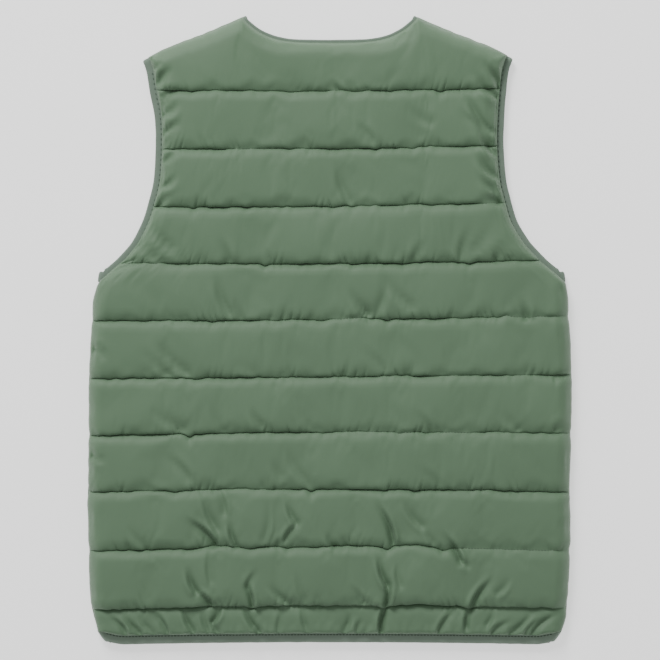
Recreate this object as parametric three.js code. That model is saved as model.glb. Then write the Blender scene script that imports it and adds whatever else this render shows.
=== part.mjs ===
// A quilted vest with no collar, laid flat on its front, seen from above with its back up.
// Millimetres. +Z is up, +Y runs from the hem to the neck and +X to the wearer's right.
// The origin is on the surface below the middle of the vest.
//
// "Rise" is the height above the lowest point of the hem, measured along +Y. The vest is a stack:
// the two fronts lie on the surface, and the back lies on them. Each panel is a padded wall with
// a plain inside and a quilted outside. Bound edges end in a tape; sewn edges meet at a fold.
import * as THREE from "three";

// Driving dimensions
const LENGTH = 680; // hem to the neck points
const GAP = 0.3; // between neighbouring pieces at a seam
const FRONT_PLANE = 9; // height of the fronts' plain inside
const BACK_LOFT = 15; // padding of the back above a quilting seam
const FRONT_LOFT = 12; // the same for the fronts, before the surface flattens them
const BACK_SEAM = 2.4; // wall of the back at a quilting seam
const FRONT_SEAM = 5; // the same for the fronts, whose padding is pressed into the seams
const SEWN_THICK = 2.2; // wall where two panels are sewn together
const BOUND_THICK = 3; // wall beside a tape
const TAPE_THICK = 4; // elastic tape folded over the raw edge
const TAPE_BEVEL = 1.2; // rounding of the tape's folded edge
const TAPE_SPACE = 2.4; // between the tape of the fronts and the tape of the back
const ARM_TAPE = 7;
const HEM_TAPE = 10;
const NECK_TAPE = 3;
const NECK_HALF = 94.8; // half width of the neck at the panels
const NECK_BASE = 650.7; // rise of the back neckline at the middle
const NECK_POINT = 678; // rise of the panels at the neck points
const NECK_POWER = 4; // how squarely the back neckline turns up
const V_BASE = 560.8; // rise where the front neckline reaches the placket
const V_POWER = 0.7;
const SHOULDER_TIP = { left: 196.2, right: 191.4, rise: { left: 634.5, right: 636.6 } };
const SHOULDER_CROWN = 2;
const UNDERARM = 388.5; // rise of the panels where side and armhole meet
const FRONT_SCOOP = 8; // how much deeper the front armhole is cut
const HEM_ARCH = 2.2; // how far the hem rises at the middle
const HEM_CORNER = { from: 222, to: 250, lift: 4 }; // where the tape pulls the corners up
const PLACKET_HALF = 14;
const PLACKET_THICK = 2;
const PLACKET_Z = 2;
const PLACKET_HEAD = 6; // how far the plackets rise past the start of the neckline
const PLACKET_SLOPE = 9;
const STUD = { radius: 6.5, thick: 1.4, sides: 16, count: 5, first: 42, last: 536 };
const HEM_ENDS = { inset: 5, lean: 7.5, rise: 0.6 }; // the tape's slant at the hem corners
const EDGE_ROUND = { sewn: 15, bound: 17, placket: 12 };
const INSIDE_EASE = { back: 17, front: 28, placket: 12 }; // where the insides reach their planes
const CREST = { shift: 0.72, sharp: 0.5 }; // the crown of a channel sits low and its sides are steep

// Heights of the middle of each layer where it is bound
const FRONT_MID = TAPE_THICK / 2 + 0.2;
const BACK_MID = FRONT_MID + TAPE_THICK + TAPE_SPACE;
const FOLD_MID = (FRONT_MID + BACK_MID) / 2;

// Half widths of the panels from the hem to the underarm
const SIDES = [
  { rise: 14, left: 250.6, right: 249.6 },
  { rise: 25, left: 254.3, right: 254.3 },
  { rise: 40, left: 257.9, right: 256.4 },
  { rise: 70, left: 260.0, right: 258.3 },
  { rise: 102, left: 261.4, right: 259.7 },
  { rise: 165, left: 261.8, right: 259.4 },
  { rise: 226, left: 260.8, right: 260.9 },
  { rise: 288, left: 261.0, right: 261.9 },
  { rise: 318, left: 259.0, right: 260.2 },
  { rise: 351, left: 257.8, right: 258.7 },
  { rise: 372, left: 255.3, right: 257.4 },
  { rise: UNDERARM, left: 251.0, right: 254.5 },
];

// Half widths of the panels from the underarm to the shoulder
const ARMHOLES = [
  { rise: UNDERARM, left: 251.0, right: 254.5 },
  { rise: 398, left: 241.1, right: 244.6 },
  { rise: 409, left: 228.0, right: 231.3 },
  { rise: 420.5, left: 216.7, right: 219.8 },
  { rise: 432, left: 207.6, right: 209.8 },
  { rise: 455, left: 196.0, right: 196.0 },
  { rise: 477, left: 189.2, right: 189.2 },
  { rise: 500, left: 183.8, right: 183.7 },
  { rise: 538, left: 181.5, right: 180.7 },
  { rise: 571, left: 182.6, right: 181.5 },
  { rise: 599, left: 188.0, right: 183.6 },
  { rise: 621, left: 191.6, right: 186.3 },
  { rise: 637, left: 197.0, right: 191.6 },
];

// Rise of each quilting seam at the left edge, the middle and the right edge, from the hem up
const SEAMS = [
  { left: 36.5, centre: 41.5, right: 38.5 },
  { left: 100.0, centre: 104.5, right: 100.0 },
  { left: 163.5, centre: 167.0, right: 163.5 },
  { left: 224.5, centre: 228.0, right: 227.0 },
  { left: 286.0, centre: 288.0, right: 290.0 },
  { left: 348.5, centre: 349.5, right: 353.0 },
  { left: 410.0, centre: 410.0, right: 413.0 },
  { left: 471.0, centre: 471.5, right: 475.0 },
  { left: 533.0, centre: 533.5, right: 537.0 },
  { left: 597.0, centre: 595.5, right: 599.0 },
];

// The largest folds of the back and the gathers at its tapes: troughs from (x0, rise0) to
// (x1, rise1). Depth is the share of the padding that the trough takes away.
const FOLDS = [
  { x0: -132, rise0: 138, x1: -119, rise1: 108, depth: 0.6, width: 7 },
  { x0: -108, rise0: 130, x1: -102, rise1: 106, depth: 0.5, width: 6 },
  { x0: -68, rise0: 150, x1: -72, rise1: 108, depth: 0.35, width: 7 },
  { x0: -150, rise0: 80, x1: -138, rise1: 44, depth: 0.65, width: 7 },
  { x0: -84, rise0: 68, x1: -76, rise1: 44, depth: 0.55, width: 6 },
  { x0: -58, rise0: 62, x1: -46, rise1: 44, depth: 0.5, width: 6 },
  { x0: -154, rise0: 38, x1: -146, rise1: 14, depth: 0.7, width: 6 },
  { x0: -118, rise0: 38, x1: -124, rise1: 14, depth: 0.6, width: 6 },
  { x0: -96, rise0: 40, x1: -76, rise1: 13, depth: 0.7, width: 6 },
  { x0: -190, rise0: 34, x1: -176, rise1: 13, depth: 0.6, width: 5 },
  { x0: -218, rise0: 28, x1: -200, rise1: 13, depth: 0.6, width: 5 },
  { x0: -232, rise0: 28, x1: -222, rise1: 15, depth: 0.5, width: 5 },
  { x0: -30, rise0: 36, x1: -28, rise1: 14, depth: 0.45, width: 6 },
  { x0: 20, rise0: 30, x1: 16, rise1: 14, depth: 0.5, width: 5 },
  { x0: 58, rise0: 78, x1: 58, rise1: 42, depth: 0.7, width: 6 },
  { x0: 58, rise0: 42, x1: 50, rise1: 14, depth: 0.8, width: 6 },
  { x0: 52, rise0: 150, x1: 70, rise1: 108, depth: 0.5, width: 6 },
  { x0: 132, rise0: 108, x1: 140, rise1: 78, depth: 0.5, width: 6 },
  { x0: 160, rise0: 62, x1: 146, rise1: 24, depth: 0.7, width: 6 },
  { x0: 126, rise0: 34, x1: 112, rise1: 14, depth: 0.55, width: 5 },
  { x0: 188, rise0: 28, x1: 170, rise1: 14, depth: 0.5, width: 5 },
  { x0: 212, rise0: 32, x1: 194, rise1: 13, depth: 0.55, width: 5 },
  { x0: 238, rise0: 34, x1: 220, rise1: 14, depth: 0.6, width: 5 },
  { x0: -122, rise0: 198, x1: -96, rise1: 170, depth: 0.3, width: 6 },
  { x0: -172, rise0: 322, x1: -150, rise1: 290, depth: 0.55, width: 6 },
  { x0: -120, rise0: 380, x1: -108, rise1: 353, depth: 0.5, width: 6 },
  { x0: 62, rise0: 386, x1: 52, rise1: 354, depth: 0.4, width: 9 },
  { x0: 66, rise0: 386, x1: 92, rise1: 364, depth: 0.35, width: 8 },
  { x0: -190, rise0: 448, x1: -166, rise1: 428, depth: 0.5, width: 7 },
  { x0: -118, rise0: 430, x1: -110, rise1: 412, depth: 0.45, width: 5 },
  { x0: 146, rise0: 552, x1: 172, rise1: 540, depth: 0.6, width: 5 },
  { x0: 136, rise0: 572, x1: 172, rise1: 554, depth: 0.6, width: 5 },
  { x0: 158, rise0: 590, x1: 176, rise1: 576, depth: 0.5, width: 5 },
  { x0: 154, rise0: 516, x1: 174, rise1: 502, depth: 0.5, width: 5 },
  { x0: -182, rise0: 620, x1: -172, rise1: 600, depth: 0.4, width: 5 },
  { x0: -178, rise0: 578, x1: -166, rise1: 590, depth: 0.45, width: 5 },
  { x0: -178, rise0: 556, x1: -164, rise1: 562, depth: 0.45, width: 5 },
  { x0: -178, rise0: 520, x1: -164, rise1: 528, depth: 0.45, width: 5 },
  { x0: -180, rise0: 502, x1: -166, rise1: 494, depth: 0.45, width: 5 },
  { x0: 12, rise0: 500, x1: 20, rise1: 476, depth: 0.35, width: 7 },
];

// Where the grids have their lines: distances in from an edge, and shares of a channel's height
const EDGE_COLUMNS = [0, 2.5, 6, 11, 18, 27];
const CHANNEL_ROWS = [0, 0.05, 0.16, 0.36, 0.62, 0.86];
const UNDERARM_ROWS = [0, 0.05, 0.16, 0.36, 0.62, 0.74, 0.86, 0.94];
const UNDERARM_BAND = 6;
const HEM_ROWS = [0, 0.15, 0.4, 0.75];
const TOP_ROWS = [0, 0.06, 0.18, 0.38, 0.6, 0.78, 0.9, 0.97, 1];
const BACK_COLUMNS = { shoulder: 9, neck: 19 };
const FRONT_EDGE_COLUMNS = [0, 3, 9, 18, 28];
const FRONT_CENTRE_COLUMNS = [0, 4, 12, 28];
const FRONT_COLUMNS = 5;
const FRONT_CHANNEL_ROWS = [0, 0.08, 0.24, 0.44, 0.8, 0.93];
const FRONT_TOP_ROWS = [0, 0.1, 0.3, 0.6, 0.85, 1];
// The insides have rings of points only, at these numbers of rows or columns from each border
const BACK_RINGS = { low: [0, 2, 4], high: [0, 2, 5], start: [0, 2, 5], end: [0, 2, 5] };
const FRONT_RINGS = { low: [0, 2, 4], high: [0, 1, 3], start: [0, 2, 4], end: [0, 2, 3] };

const lerp = THREE.MathUtils.lerp;
const clamp = THREE.MathUtils.clamp;
const smooth = (x, from, to) => THREE.MathUtils.smoothstep(x, from, to);
const sideName = (side) => (side < 0 ? "left" : "right");
const yOf = (rise) => rise - LENGTH / 2;

// A smooth curve through one column of a table whose rows go up in rise
function tableAt(table, column, rise) {
  const last = table.length - 1;
  let i = 0;
  while (i < last - 1 && table[i + 1].rise < rise) i++;
  const slope = (k) => {
    const a = table[Math.max(k - 1, 0)];
    const b = table[Math.min(k + 1, last)];
    return (b[column] - a[column]) / (b.rise - a.rise);
  };
  const span = table[i + 1].rise - table[i].rise;
  const t = clamp((rise - table[i].rise) / span, 0, 1);
  const [t2, t3] = [t * t, t * t * t];
  return (
    (2 * t3 - 3 * t2 + 1) * table[i][column] +
    (t3 - 2 * t2 + t) * span * slope(i) +
    (3 * t2 - 2 * t3) * table[i + 1][column] +
    (t3 - t2) * span * slope(i + 1)
  );
}

// Signed x of a panel's outer edge at a rise; the front armhole is cut deeper by the scoop
function edgeX(side, rise, scoop = 0) {
  const table = rise <= UNDERARM ? SIDES : ARMHOLES;
  const share = (rise - UNDERARM) / (SHOULDER_TIP.rise[sideName(side)] - UNDERARM);
  const cut = rise > UNDERARM ? scoop * Math.sin(Math.PI * clamp(share, 0, 1)) : 0;
  return side * (tableAt(table, sideName(side), rise) - cut);
}

const backNeck = (x) => NECK_BASE + (NECK_POINT - NECK_BASE) * Math.abs(x / NECK_HALF) ** NECK_POWER;

function frontNeckX(rise) {
  const share = clamp((rise - V_BASE) / (NECK_POINT - V_BASE), 0, 1);
  const edge = PLACKET_HALF + GAP;
  return edge + (NECK_HALF - edge) * share ** V_POWER;
}

function shoulder(x) {
  const name = sideName(x);
  const t = (Math.abs(x) - NECK_HALF) / (SHOULDER_TIP[name] - NECK_HALF);
  return lerp(NECK_POINT, SHOULDER_TIP.rise[name], t) + SHOULDER_CROWN * Math.sin(Math.PI * clamp(t, 0, 1) ** 3);
}

const topLine = (x) => (Math.abs(x) < NECK_HALF ? backNeck(x) : shoulder(x));

// The panels' lower edge, which the hem tape continues
function hemLine(x) {
  const arch = HEM_ARCH * clamp(1 - (x / 220) ** 2, 0, 1);
  const lift = HEM_CORNER.lift * smooth(Math.abs(x), HEM_CORNER.from, HEM_CORNER.to);
  return HEM_TAPE + GAP + arch + lift;
}

function seamLine(seam, x) {
  const q = x / Math.abs(edgeX(Math.sign(x) || 1, seam[sideName(x)]));
  return seam.centre + ((seam.right - seam.left) / 2) * q + ((seam.left + seam.right) / 2 - seam.centre) * q * q;
}

// The bands between the hem, the quilting seams and the top, as pairs of curves over x
const curves = [
  { at: hemLine, left: hemLine(-SIDES[0].left), right: hemLine(SIDES[0].right) },
  ...SEAMS.map((seam) => ({ at: (x) => seamLine(seam, x), left: seam.left, right: seam.right })),
];

// Shape of a channel's outside between its lower seam (0) and its upper seam (1)
const crown = (v) => Math.sin(Math.PI * clamp(v, 0, 1) ** CREST.shift) ** CREST.sharp;
const hemCrown = (v) => 0.8 * Math.sin((Math.PI / 2) * (1 + clamp(v, 0, 1))) ** CREST.sharp;
const topCrown = (v) => Math.sin((Math.PI / 2) * clamp(v / 0.5, 0, 1)) ** CREST.sharp;
const rounded = (d, radius) => Math.sqrt(1 - (1 - clamp(d / radius, 0, 1)) ** 2);

function distanceTo(line, x, rise) {
  let best = Infinity;
  for (let i = 0; i + 1 < line.length; i++) {
    const [a, b] = [line[i], line[i + 1]];
    const [dx, dy] = [b.x - a.x, b.rise - a.rise];
    const t = clamp(((x - a.x) * dx + (rise - a.rise) * dy) / (dx * dx + dy * dy), 0, 1);
    best = Math.min(best, Math.hypot(x - a.x - t * dx, rise - a.rise - t * dy));
  }
  return best;
}

function foldFactor(x, rise) {
  let left = 1;
  for (const fold of FOLDS) {
    const [dx, dy] = [fold.x1 - fold.x0, fold.rise1 - fold.rise0];
    const t = clamp(((x - fold.x0) * dx + (rise - fold.rise0) * dy) / (dx * dx + dy * dy), 0, 1);
    const off = Math.hypot(x - fold.x0 - t * dx, rise - fold.rise0 - t * dy);
    left = Math.min(left, 1 - fold.depth * Math.exp(-((off / fold.width) ** 2)));
  }
  return left;
}

// The cells of a grid on the rectangle between two rows and two columns, in order round it
function ring(lowRow, highRow, lowColumn, highColumn) {
  const cells = [];
  for (let c = lowColumn; c < highColumn; c++) cells.push([lowRow, c]);
  for (let r = lowRow; r < highRow; r++) cells.push([r, highColumn]);
  for (let c = highColumn; c > lowColumn; c--) cells.push([highRow, c]);
  for (let r = highRow; r > lowRow; r--) cells.push([r, lowColumn]);
  return cells;
}

// A closed wall: its outside has every point of the grid. Its inside has the border and a few
// rings within it, given as steps in from each side, and one plain face in the last ring.
function wall(outside, inside, rings, facesDown) {
  const [rowCount, columnCount] = [outside.length, outside[0].length];
  const points = [];
  const triangles = [];
  const index = new Map();
  const add = (side, r, c) => {
    const key = `${side} ${r} ${c}`;
    if (!index.has(key)) {
      const p = (side ? inside : outside)[r][c];
      index.set(key, points.length / 3);
      points.push(p.x, p.y, p.z);
    }
    return index.get(key);
  };
  for (let r = 0; r + 1 < rowCount; r++) {
    for (let c = 0; c + 1 < columnCount; c++) {
      const [a, b] = [add(0, r, c), add(0, r, c + 1)];
      const [d, e] = [add(0, r + 1, c + 1), add(0, r + 1, c)];
      triangles.push(a, b, d, a, d, e);
    }
  }
  const border = ring(0, rowCount - 1, 0, columnCount - 1);
  border.forEach(([r, c], i) => {
    const [r2, c2] = border[(i + 1) % border.length];
    const [a, b] = [add(0, r, c), add(0, r2, c2)];
    const [d, e] = [add(1, r2, c2), add(1, r, c)];
    triangles.push(b, a, e, b, e, d);
  });
  const count = rings.low.length;
  for (let k = 0; k + 1 < count; k++) {
    const box = (n) => [
      rings.low[n],
      rowCount - 1 - rings.high[n],
      rings.start[n],
      columnCount - 1 - rings.end[n],
    ];
    const outer = ring(...box(k));
    const [lowRow, highRow, lowColumn, highColumn] = box(k + 1);
    const inward = ([r, c]) => add(1, clamp(r, lowRow, highRow), clamp(c, lowColumn, highColumn));
    outer.forEach(([r, c], i) => {
      const next = outer[(i + 1) % outer.length];
      const [a, b] = [add(1, r, c), add(1, ...next)];
      const [d, e] = [inward([r, c]), inward(next)];
      triangles.push(b, a, e);
      if (d !== e) triangles.push(a, d, e);
    });
    if (k + 2 === count) {
      const last = ring(lowRow, highRow, lowColumn, highColumn);
      const outline = last.map(([r, c]) => new THREE.Vector2(inside[r][c].x, inside[r][c].y));
      const area = (corners) => THREE.ShapeUtils.area(corners);
      for (const face of THREE.ShapeUtils.triangulateShape(outline, [])) {
        const [i, j, m] = face.map((k) => add(1, ...last[k]));
        const turned = area(face.map((k) => outline[k])) * area(outline) > 0;
        triangles.push(i, ...(turned ? [m, j] : [j, m]));
      }
    }
  }
  return solid(points, facesDown ? flipped(triangles) : triangles);
}

// The same triangles with their faces turned over
const flipped = (triangles) => triangles.map((_, i) => triangles[i - (i % 3) + [0, 2, 1][i % 3]]);

function solid(points, triangles) {
  const geometry = new THREE.BufferGeometry();
  geometry.setAttribute("position", new THREE.Float32BufferAttribute(points, 3));
  geometry.setIndex(triangles);
  geometry.computeVertexNormals();
  return geometry;
}

const evenly = (from, to, n) => Array.from({ length: n - 1 }, (_, i) => lerp(from, to, (i + 1) / n));
const reversed = (list) => [...list].reverse();

// The share of the way up each band at which the grids have rows
function bandRows(band, channelRows, topRows) {
  if (band === 0) return HEM_ROWS;
  if (band === UNDERARM_BAND) return UNDERARM_ROWS;
  return band === SEAMS.length ? topRows : channelRows;
}

// Plan of the back: rows of cells from the left edge to the right edge. v is the share of the
// way up a band.
function backPlan() {
  const columnsAt = (left, right) => [
    ...EDGE_COLUMNS.map((d) => left + d),
    ...evenly(left + EDGE_COLUMNS.at(-1), -NECK_HALF, BACK_COLUMNS.shoulder),
    -NECK_HALF,
    ...evenly(-NECK_HALF, NECK_HALF, BACK_COLUMNS.neck),
    NECK_HALF,
    ...evenly(NECK_HALF, right - EDGE_COLUMNS.at(-1), BACK_COLUMNS.shoulder),
    ...reversed(EDGE_COLUMNS).map((d) => right - d),
  ];
  const top = columnsAt(-SHOULDER_TIP.left, SHOULDER_TIP.right).map(topLine);
  const tips = SHOULDER_TIP.rise;
  return curves.flatMap((low, band) =>
    bandRows(band, CHANNEL_ROWS, TOP_ROWS).map((v) => {
      const high = curves[band + 1] ?? { left: tips.left, right: tips.right };
      const left = edgeX(-1, lerp(low.left, high.left, v));
      const right = edgeX(1, lerp(low.right, high.right, v));
      return columnsAt(left, right).map((x, c) => {
        const upper = high.at ? high.at(x) : top[c];
        return { x, rise: lerp(low.at(x), upper, v), v, band };
      });
    }),
  );
}

// Plan of one front: columns run from the side to the placket and the neckline
function frontPlan(side) {
  const name = sideName(side);
  const columnsAt = (outer, inner) => {
    const first = outer - side * FRONT_EDGE_COLUMNS.at(-1);
    const last = inner + side * FRONT_CENTRE_COLUMNS.at(-1);
    return [
      ...FRONT_EDGE_COLUMNS.map((d) => outer - side * d),
      ...evenly(first, last, FRONT_COLUMNS),
      ...reversed(FRONT_CENTRE_COLUMNS).map((d) => inner + side * d),
    ];
  };
  const top = columnsAt(side * SHOULDER_TIP[name], side * NECK_HALF).map(shoulder);
  return curves.flatMap((low, band) =>
    bandRows(band, FRONT_CHANNEL_ROWS, FRONT_TOP_ROWS).map((v) => {
      const high = curves[band + 1];
      const outer = edgeX(side, lerp(low[name], high ? high[name] : SHOULDER_TIP.rise[name], v), FRONT_SCOOP);
      const inner = side * frontNeckX(lerp(low.at(0), high ? high.at(0) : NECK_POINT, v));
      return columnsAt(outer, inner).map((x, c) => {
        const upper = high ? high.at(x) : top[c];
        return { x, rise: lerp(low.at(x), upper, v), v, band };
      });
    }),
  );
}

const crownOf = ({ band, v }) => (band === 0 ? hemCrown(v) : band === SEAMS.length ? topCrown(v) : crown(v));

// Shares of the way from a sewn edge to a taped one, and the distances to both
function edgesAt(p, sewnLines, boundLines) {
  const nearest = (lines) => Math.min(...lines.map((line) => distanceTo(line, p.x, p.rise)));
  const [sewn, bound] = [nearest(sewnLines), nearest(boundLines)];
  return { sewn, bound, near: Math.min(sewn, bound), taped: 1 - smooth(bound, 1, 14) };
}

// A panel's wall from its plan and a function that gives the heights of both faces
function panel(plan, heights, rings, facesDown) {
  const levels = plan.map((row) => row.map(heights));
  const place = (face) =>
    plan.map((row, r) => row.map((p, c) => new THREE.Vector3(p.x, yOf(p.rise), levels[r][c][face])));
  return wall(place("outside"), place("inside"), rings, facesDown);
}

const below = (rise) => (p) => p.rise < rise;
const above = (rise) => (p) => p.rise > rise;
const firstCells = (plan) => plan.map((row) => row[0]);
const lastCells = (plan) => plan.map((row) => row.at(-1));

function backPanel(plan) {
  const top = plan.at(-1);
  const [left, right] = [firstCells(plan), lastCells(plan)];
  const sewnLines = [
    left.filter(below(UNDERARM + 3)),
    right.filter(below(UNDERARM + 3)),
    top.filter((p) => p.x < 0.01 - NECK_HALF),
    top.filter((p) => p.x > NECK_HALF - 0.01),
  ];
  const boundLines = [
    plan[0],
    left.filter(above(UNDERARM - 3)),
    right.filter(above(UNDERARM - 3)),
    top.filter((p) => Math.abs(p.x) < NECK_HALF + 0.01),
  ];
  const heights = (p) => {
    const { sewn, bound, near, taped } = edgesAt(p, sewnLines, boundLines);
    const edge = lerp(FOLD_MID + GAP / 2, BACK_MID - BOUND_THICK / 2, taped);
    const inside = lerp(edge, FRONT_PLANE + GAP, smooth(near, 0, INSIDE_EASE.back));
    const thin = lerp(SEWN_THICK, BOUND_THICK, taped);
    const puff = Math.min(rounded(sewn, EDGE_ROUND.sewn), rounded(bound, EDGE_ROUND.bound));
    const seam = lerp(thin, BACK_SEAM, smooth(near, 0, INSIDE_EASE.back));
    const padding = BACK_LOFT * crownOf(p) * foldFactor(p.x, p.rise) * puff;
    return { inside, outside: inside + seam + padding };
  };
  return panel(plan, heights, BACK_RINGS, false);
}

function frontPanel(plan, side) {
  const [outer, inner] = [firstCells(plan), lastCells(plan)];
  const centre = inner.filter(below(V_BASE + 1));
  const sewnLines = [outer.filter(below(UNDERARM + 3)), plan.at(-1)];
  const boundLines = [plan[0], outer.filter(above(UNDERARM - 3)), inner.filter(above(V_BASE - 1))];
  const heights = (p) => {
    const { sewn, bound, near, taped } = edgesAt(p, sewnLines, boundLines);
    const opening = distanceTo(centre, p.x, p.rise);
    const edge = lerp(FOLD_MID - GAP / 2, FRONT_MID + BOUND_THICK / 2, taped);
    const ease = Math.min(smooth(near, 0, INSIDE_EASE.front), smooth(opening, 0, INSIDE_EASE.placket));
    const inside = lerp(edge, FRONT_PLANE, ease);
    const thin = lerp(SEWN_THICK, BOUND_THICK, taped);
    const puff = Math.min(
      rounded(sewn, EDGE_ROUND.sewn),
      rounded(bound, EDGE_ROUND.bound),
      rounded(opening, EDGE_ROUND.placket),
    );
    const seam = lerp(thin, FRONT_SEAM, ease);
    return { inside, outside: Math.max(0, inside - seam - FRONT_LOFT * crownOf(p) * puff) };
  };
  // The right front's columns run the other way, so its faces come out turned over already.
  return panel(plan, heights, FRONT_RINGS, side < 0);
}

// A flat tape swept along ribs, each from its inboard point (a) to its folded edge (b).
// The ribs follow each other along the tape, and its thickness is square to them.
function tape(ribs, closed) {
  const half = TAPE_THICK / 2;
  const n = ribs.length;
  const points = [];
  const triangles = [];
  const middle = (rib) => rib.a.clone().lerp(rib.b, 0.5);
  ribs.forEach((rib, i) => {
    const before = ribs[closed ? (i + n - 1) % n : Math.max(i - 1, 0)];
    const after = ribs[closed ? (i + 1) % n : Math.min(i + 1, n - 1)];
    const along = rib.along ?? middle(after).sub(middle(before)).normalize();
    const across = rib.b.clone().sub(rib.a);
    const width = across.length();
    across.normalize();
    const up = along.clone().cross(across).normalize();
    const section = [
      [0, half],
      [width - TAPE_BEVEL, half],
      [width, half - TAPE_BEVEL],
      [width, TAPE_BEVEL - half],
      [width - TAPE_BEVEL, -half],
      [0, -half],
    ];
    for (const [w, t] of section) {
      const p = rib.a.clone().addScaledVector(across, w).addScaledVector(up, t);
      points.push(p.x, p.y, p.z);
    }
  });
  const m = 6;
  for (let i = 0; i < (closed ? n : n - 1); i++) {
    for (let k = 0; k < m; k++) {
      const [a, b] = [i * m + k, i * m + ((k + 1) % m)];
      const [c, d] = [((i + 1) % n) * m + k, ((i + 1) % n) * m + ((k + 1) % m)];
      triangles.push(a, d, b, a, c, d);
    }
  }
  if (!closed) {
    const end = (n - 1) * m;
    for (let k = 1; k + 1 < m; k++) {
      triangles.push(0, k, k + 1, end, end + k + 1, end + k);
    }
  }
  return solid(points, triangles);
}

// Ribs beside a panel's border, in the order of its points. Outward is +1 where the tape lies to
// the left of the way they go. The tape starts a seam gap away from the border.
function ribsBeside(line, outward, width, z) {
  return line.map((p, i) => {
    const a = line[Math.max(i - 1, 0)];
    const b = line[Math.min(i + 1, line.length - 1)];
    const length = Math.hypot(b.x - a.x, b.rise - a.rise);
    const [nx, ny] = [(-(b.rise - a.rise) / length) * outward, ((b.x - a.x) / length) * outward];
    const at = (d) => new THREE.Vector3(p.x + nx * d, yOf(p.rise + ny * d), z);
    return { a: at(GAP), b: at(GAP + width) };
  });
}

// A rib turned so that it lies along a fold line
function alongFold(rib, way, width) {
  return { a: rib.a, b: rib.a.clone().addScaledVector(new THREE.Vector3(...way, 0).normalize(), width) };
}

// The half turn that carries a tape over a fold: from a rib on one layer to the same rib on the
// other. Away is the level direction in which it stands past the rib.
function turn(rib, away, fromZ, toZ) {
  const radius = (fromZ - toZ) / 2;
  const out = new THREE.Vector3(...away, 0).normalize();
  return [-90, -45, 0, 45, 90].map((degrees) => {
    const angle = THREE.MathUtils.degToRad(degrees);
    const shift = out.clone().multiplyScalar(Math.abs(radius) * Math.cos(angle));
    const moved = (p) => p.clone().add(shift).setZ((fromZ + toZ) / 2 - radius * Math.sin(angle));
    const along = out.clone().multiplyScalar(-Math.sin(angle));
    along.setZ(-Math.sign(radius) * Math.cos(angle));
    return { a: moved(rib.a), b: moved(rib.b), along };
  });
}

// Part of a border between two distances from its ends, with a point at each of them
function between(line, start, end) {
  const reach = [0];
  line.slice(1).forEach((p, i) => reach.push(reach[i] + Math.hypot(p.x - line[i].x, p.rise - line[i].rise)));
  const at = (d) => {
    const i = Math.min(line.length - 1, Math.max(1, reach.findIndex((r) => r >= d)));
    const t = (d - reach[i - 1]) / (reach[i] - reach[i - 1]);
    return { x: lerp(line[i - 1].x, line[i].x, t), rise: lerp(line[i - 1].rise, line[i].rise, t) };
  };
  const stop = reach.at(-1) - end;
  const kept = line.filter((_, i) => reach[i] > start + 0.5 && reach[i] < stop - 0.5);
  return [at(start), ...kept, at(stop)];
}

const TURN_REACH = (BACK_MID - FRONT_MID + TAPE_THICK) / 2;

// The ribs of a line without those at its two ends
const inner = (ribs) => ribs.slice(1, -1);

function armholeTape(side, backCells, frontCells) {
  const outward = side < 0 ? 1 : -1;
  const lay = (cells, z) => {
    const open = between(cells.filter(above(UNDERARM - 2.5)), TURN_REACH * 1.4, TURN_REACH);
    return ribsBeside(open, outward, ARM_TAPE, z);
  };
  const back = lay(backCells, BACK_MID);
  const front = lay(frontCells, FRONT_MID);
  // The tape lies along the side at the underarm, and along the shoulder at the top.
  const atUnderarm = alongFold(back[0], [side * -0.1, 1], ARM_TAPE * 1.35);
  const atShoulder = alongFold(back.at(-1), [side * 0.91, -0.42], ARM_TAPE);
  const over = turn(atShoulder, [side * 0.42, 0.91], BACK_MID, FRONT_MID);
  const under = turn(atUnderarm, [side, 0.1], FRONT_MID, BACK_MID);
  return tape([...inner(back), ...over, ...reversed(inner(front)), ...under], true);
}

function hemTape(backCells, leftCells, rightCells) {
  const { inset, lean, rise } = HEM_ENDS;
  const back = ribsBeside(between(backCells, inset, inset), -1, HEM_TAPE, BACK_MID);
  const left = ribsBeside(between(leftCells, inset, 0), -1, HEM_TAPE, FRONT_MID);
  const right = ribsBeside(between(rightCells, inset, 0), 1, HEM_TAPE, FRONT_MID);
  // The ends lean in with the rounded corners of the hem.
  const leaning = (rib, side) => ({ a: rib.a, b: rib.b.clone().add(new THREE.Vector3(-side * lean, rise, 0)) });
  const leftTurn = turn(leaning(back[0], -1), [-0.8, -0.6], FRONT_MID, BACK_MID);
  const rightTurn = turn(leaning(back.at(-1), 1), [0.8, -0.6], BACK_MID, FRONT_MID);
  const ribs = [...reversed(left.slice(1)), ...leftTurn, ...inner(back), ...rightTurn, ...right.slice(1)];
  return tape(ribs, false);
}

function neckTape(backTop, leftInner, rightInner) {
  const neckline = backTop.filter((p) => Math.abs(p.x) < NECK_HALF + 0.01);
  const back = ribsBeside(between(neckline, TURN_REACH, TURN_REACH), 1, NECK_TAPE, BACK_MID);
  const lay = (cells, side) => {
    const open = between(cells.filter(above(V_BASE - 1)), 0, TURN_REACH);
    const ribs = ribsBeside(open, side, NECK_TAPE, FRONT_MID);
    // The lower end stands upright beside the placket.
    const a = ribs[0].a.clone().add(new THREE.Vector3(0, 2 * GAP, 0));
    a.setX(side * (PLACKET_HALF + 2 * GAP));
    return [{ a, b: a.clone().add(new THREE.Vector3(0, NECK_TAPE * 1.3, 0)) }, ...inner(ribs)];
  };
  const atLeft = alongFold(back[0], [0.92, 0.39], NECK_TAPE);
  const atRight = alongFold(back.at(-1), [-0.92, 0.39], NECK_TAPE);
  const leftTurn = turn(atLeft, [-0.39, 0.92], FRONT_MID, BACK_MID);
  const rightTurn = turn(atRight, [0.39, 0.92], BACK_MID, FRONT_MID);
  const [left, right] = [lay(leftInner, -1), lay(rightInner, 1)];
  return tape([...left, ...leftTurn, ...inner(back), ...rightTurn, ...reversed(right)], false);
}

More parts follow.
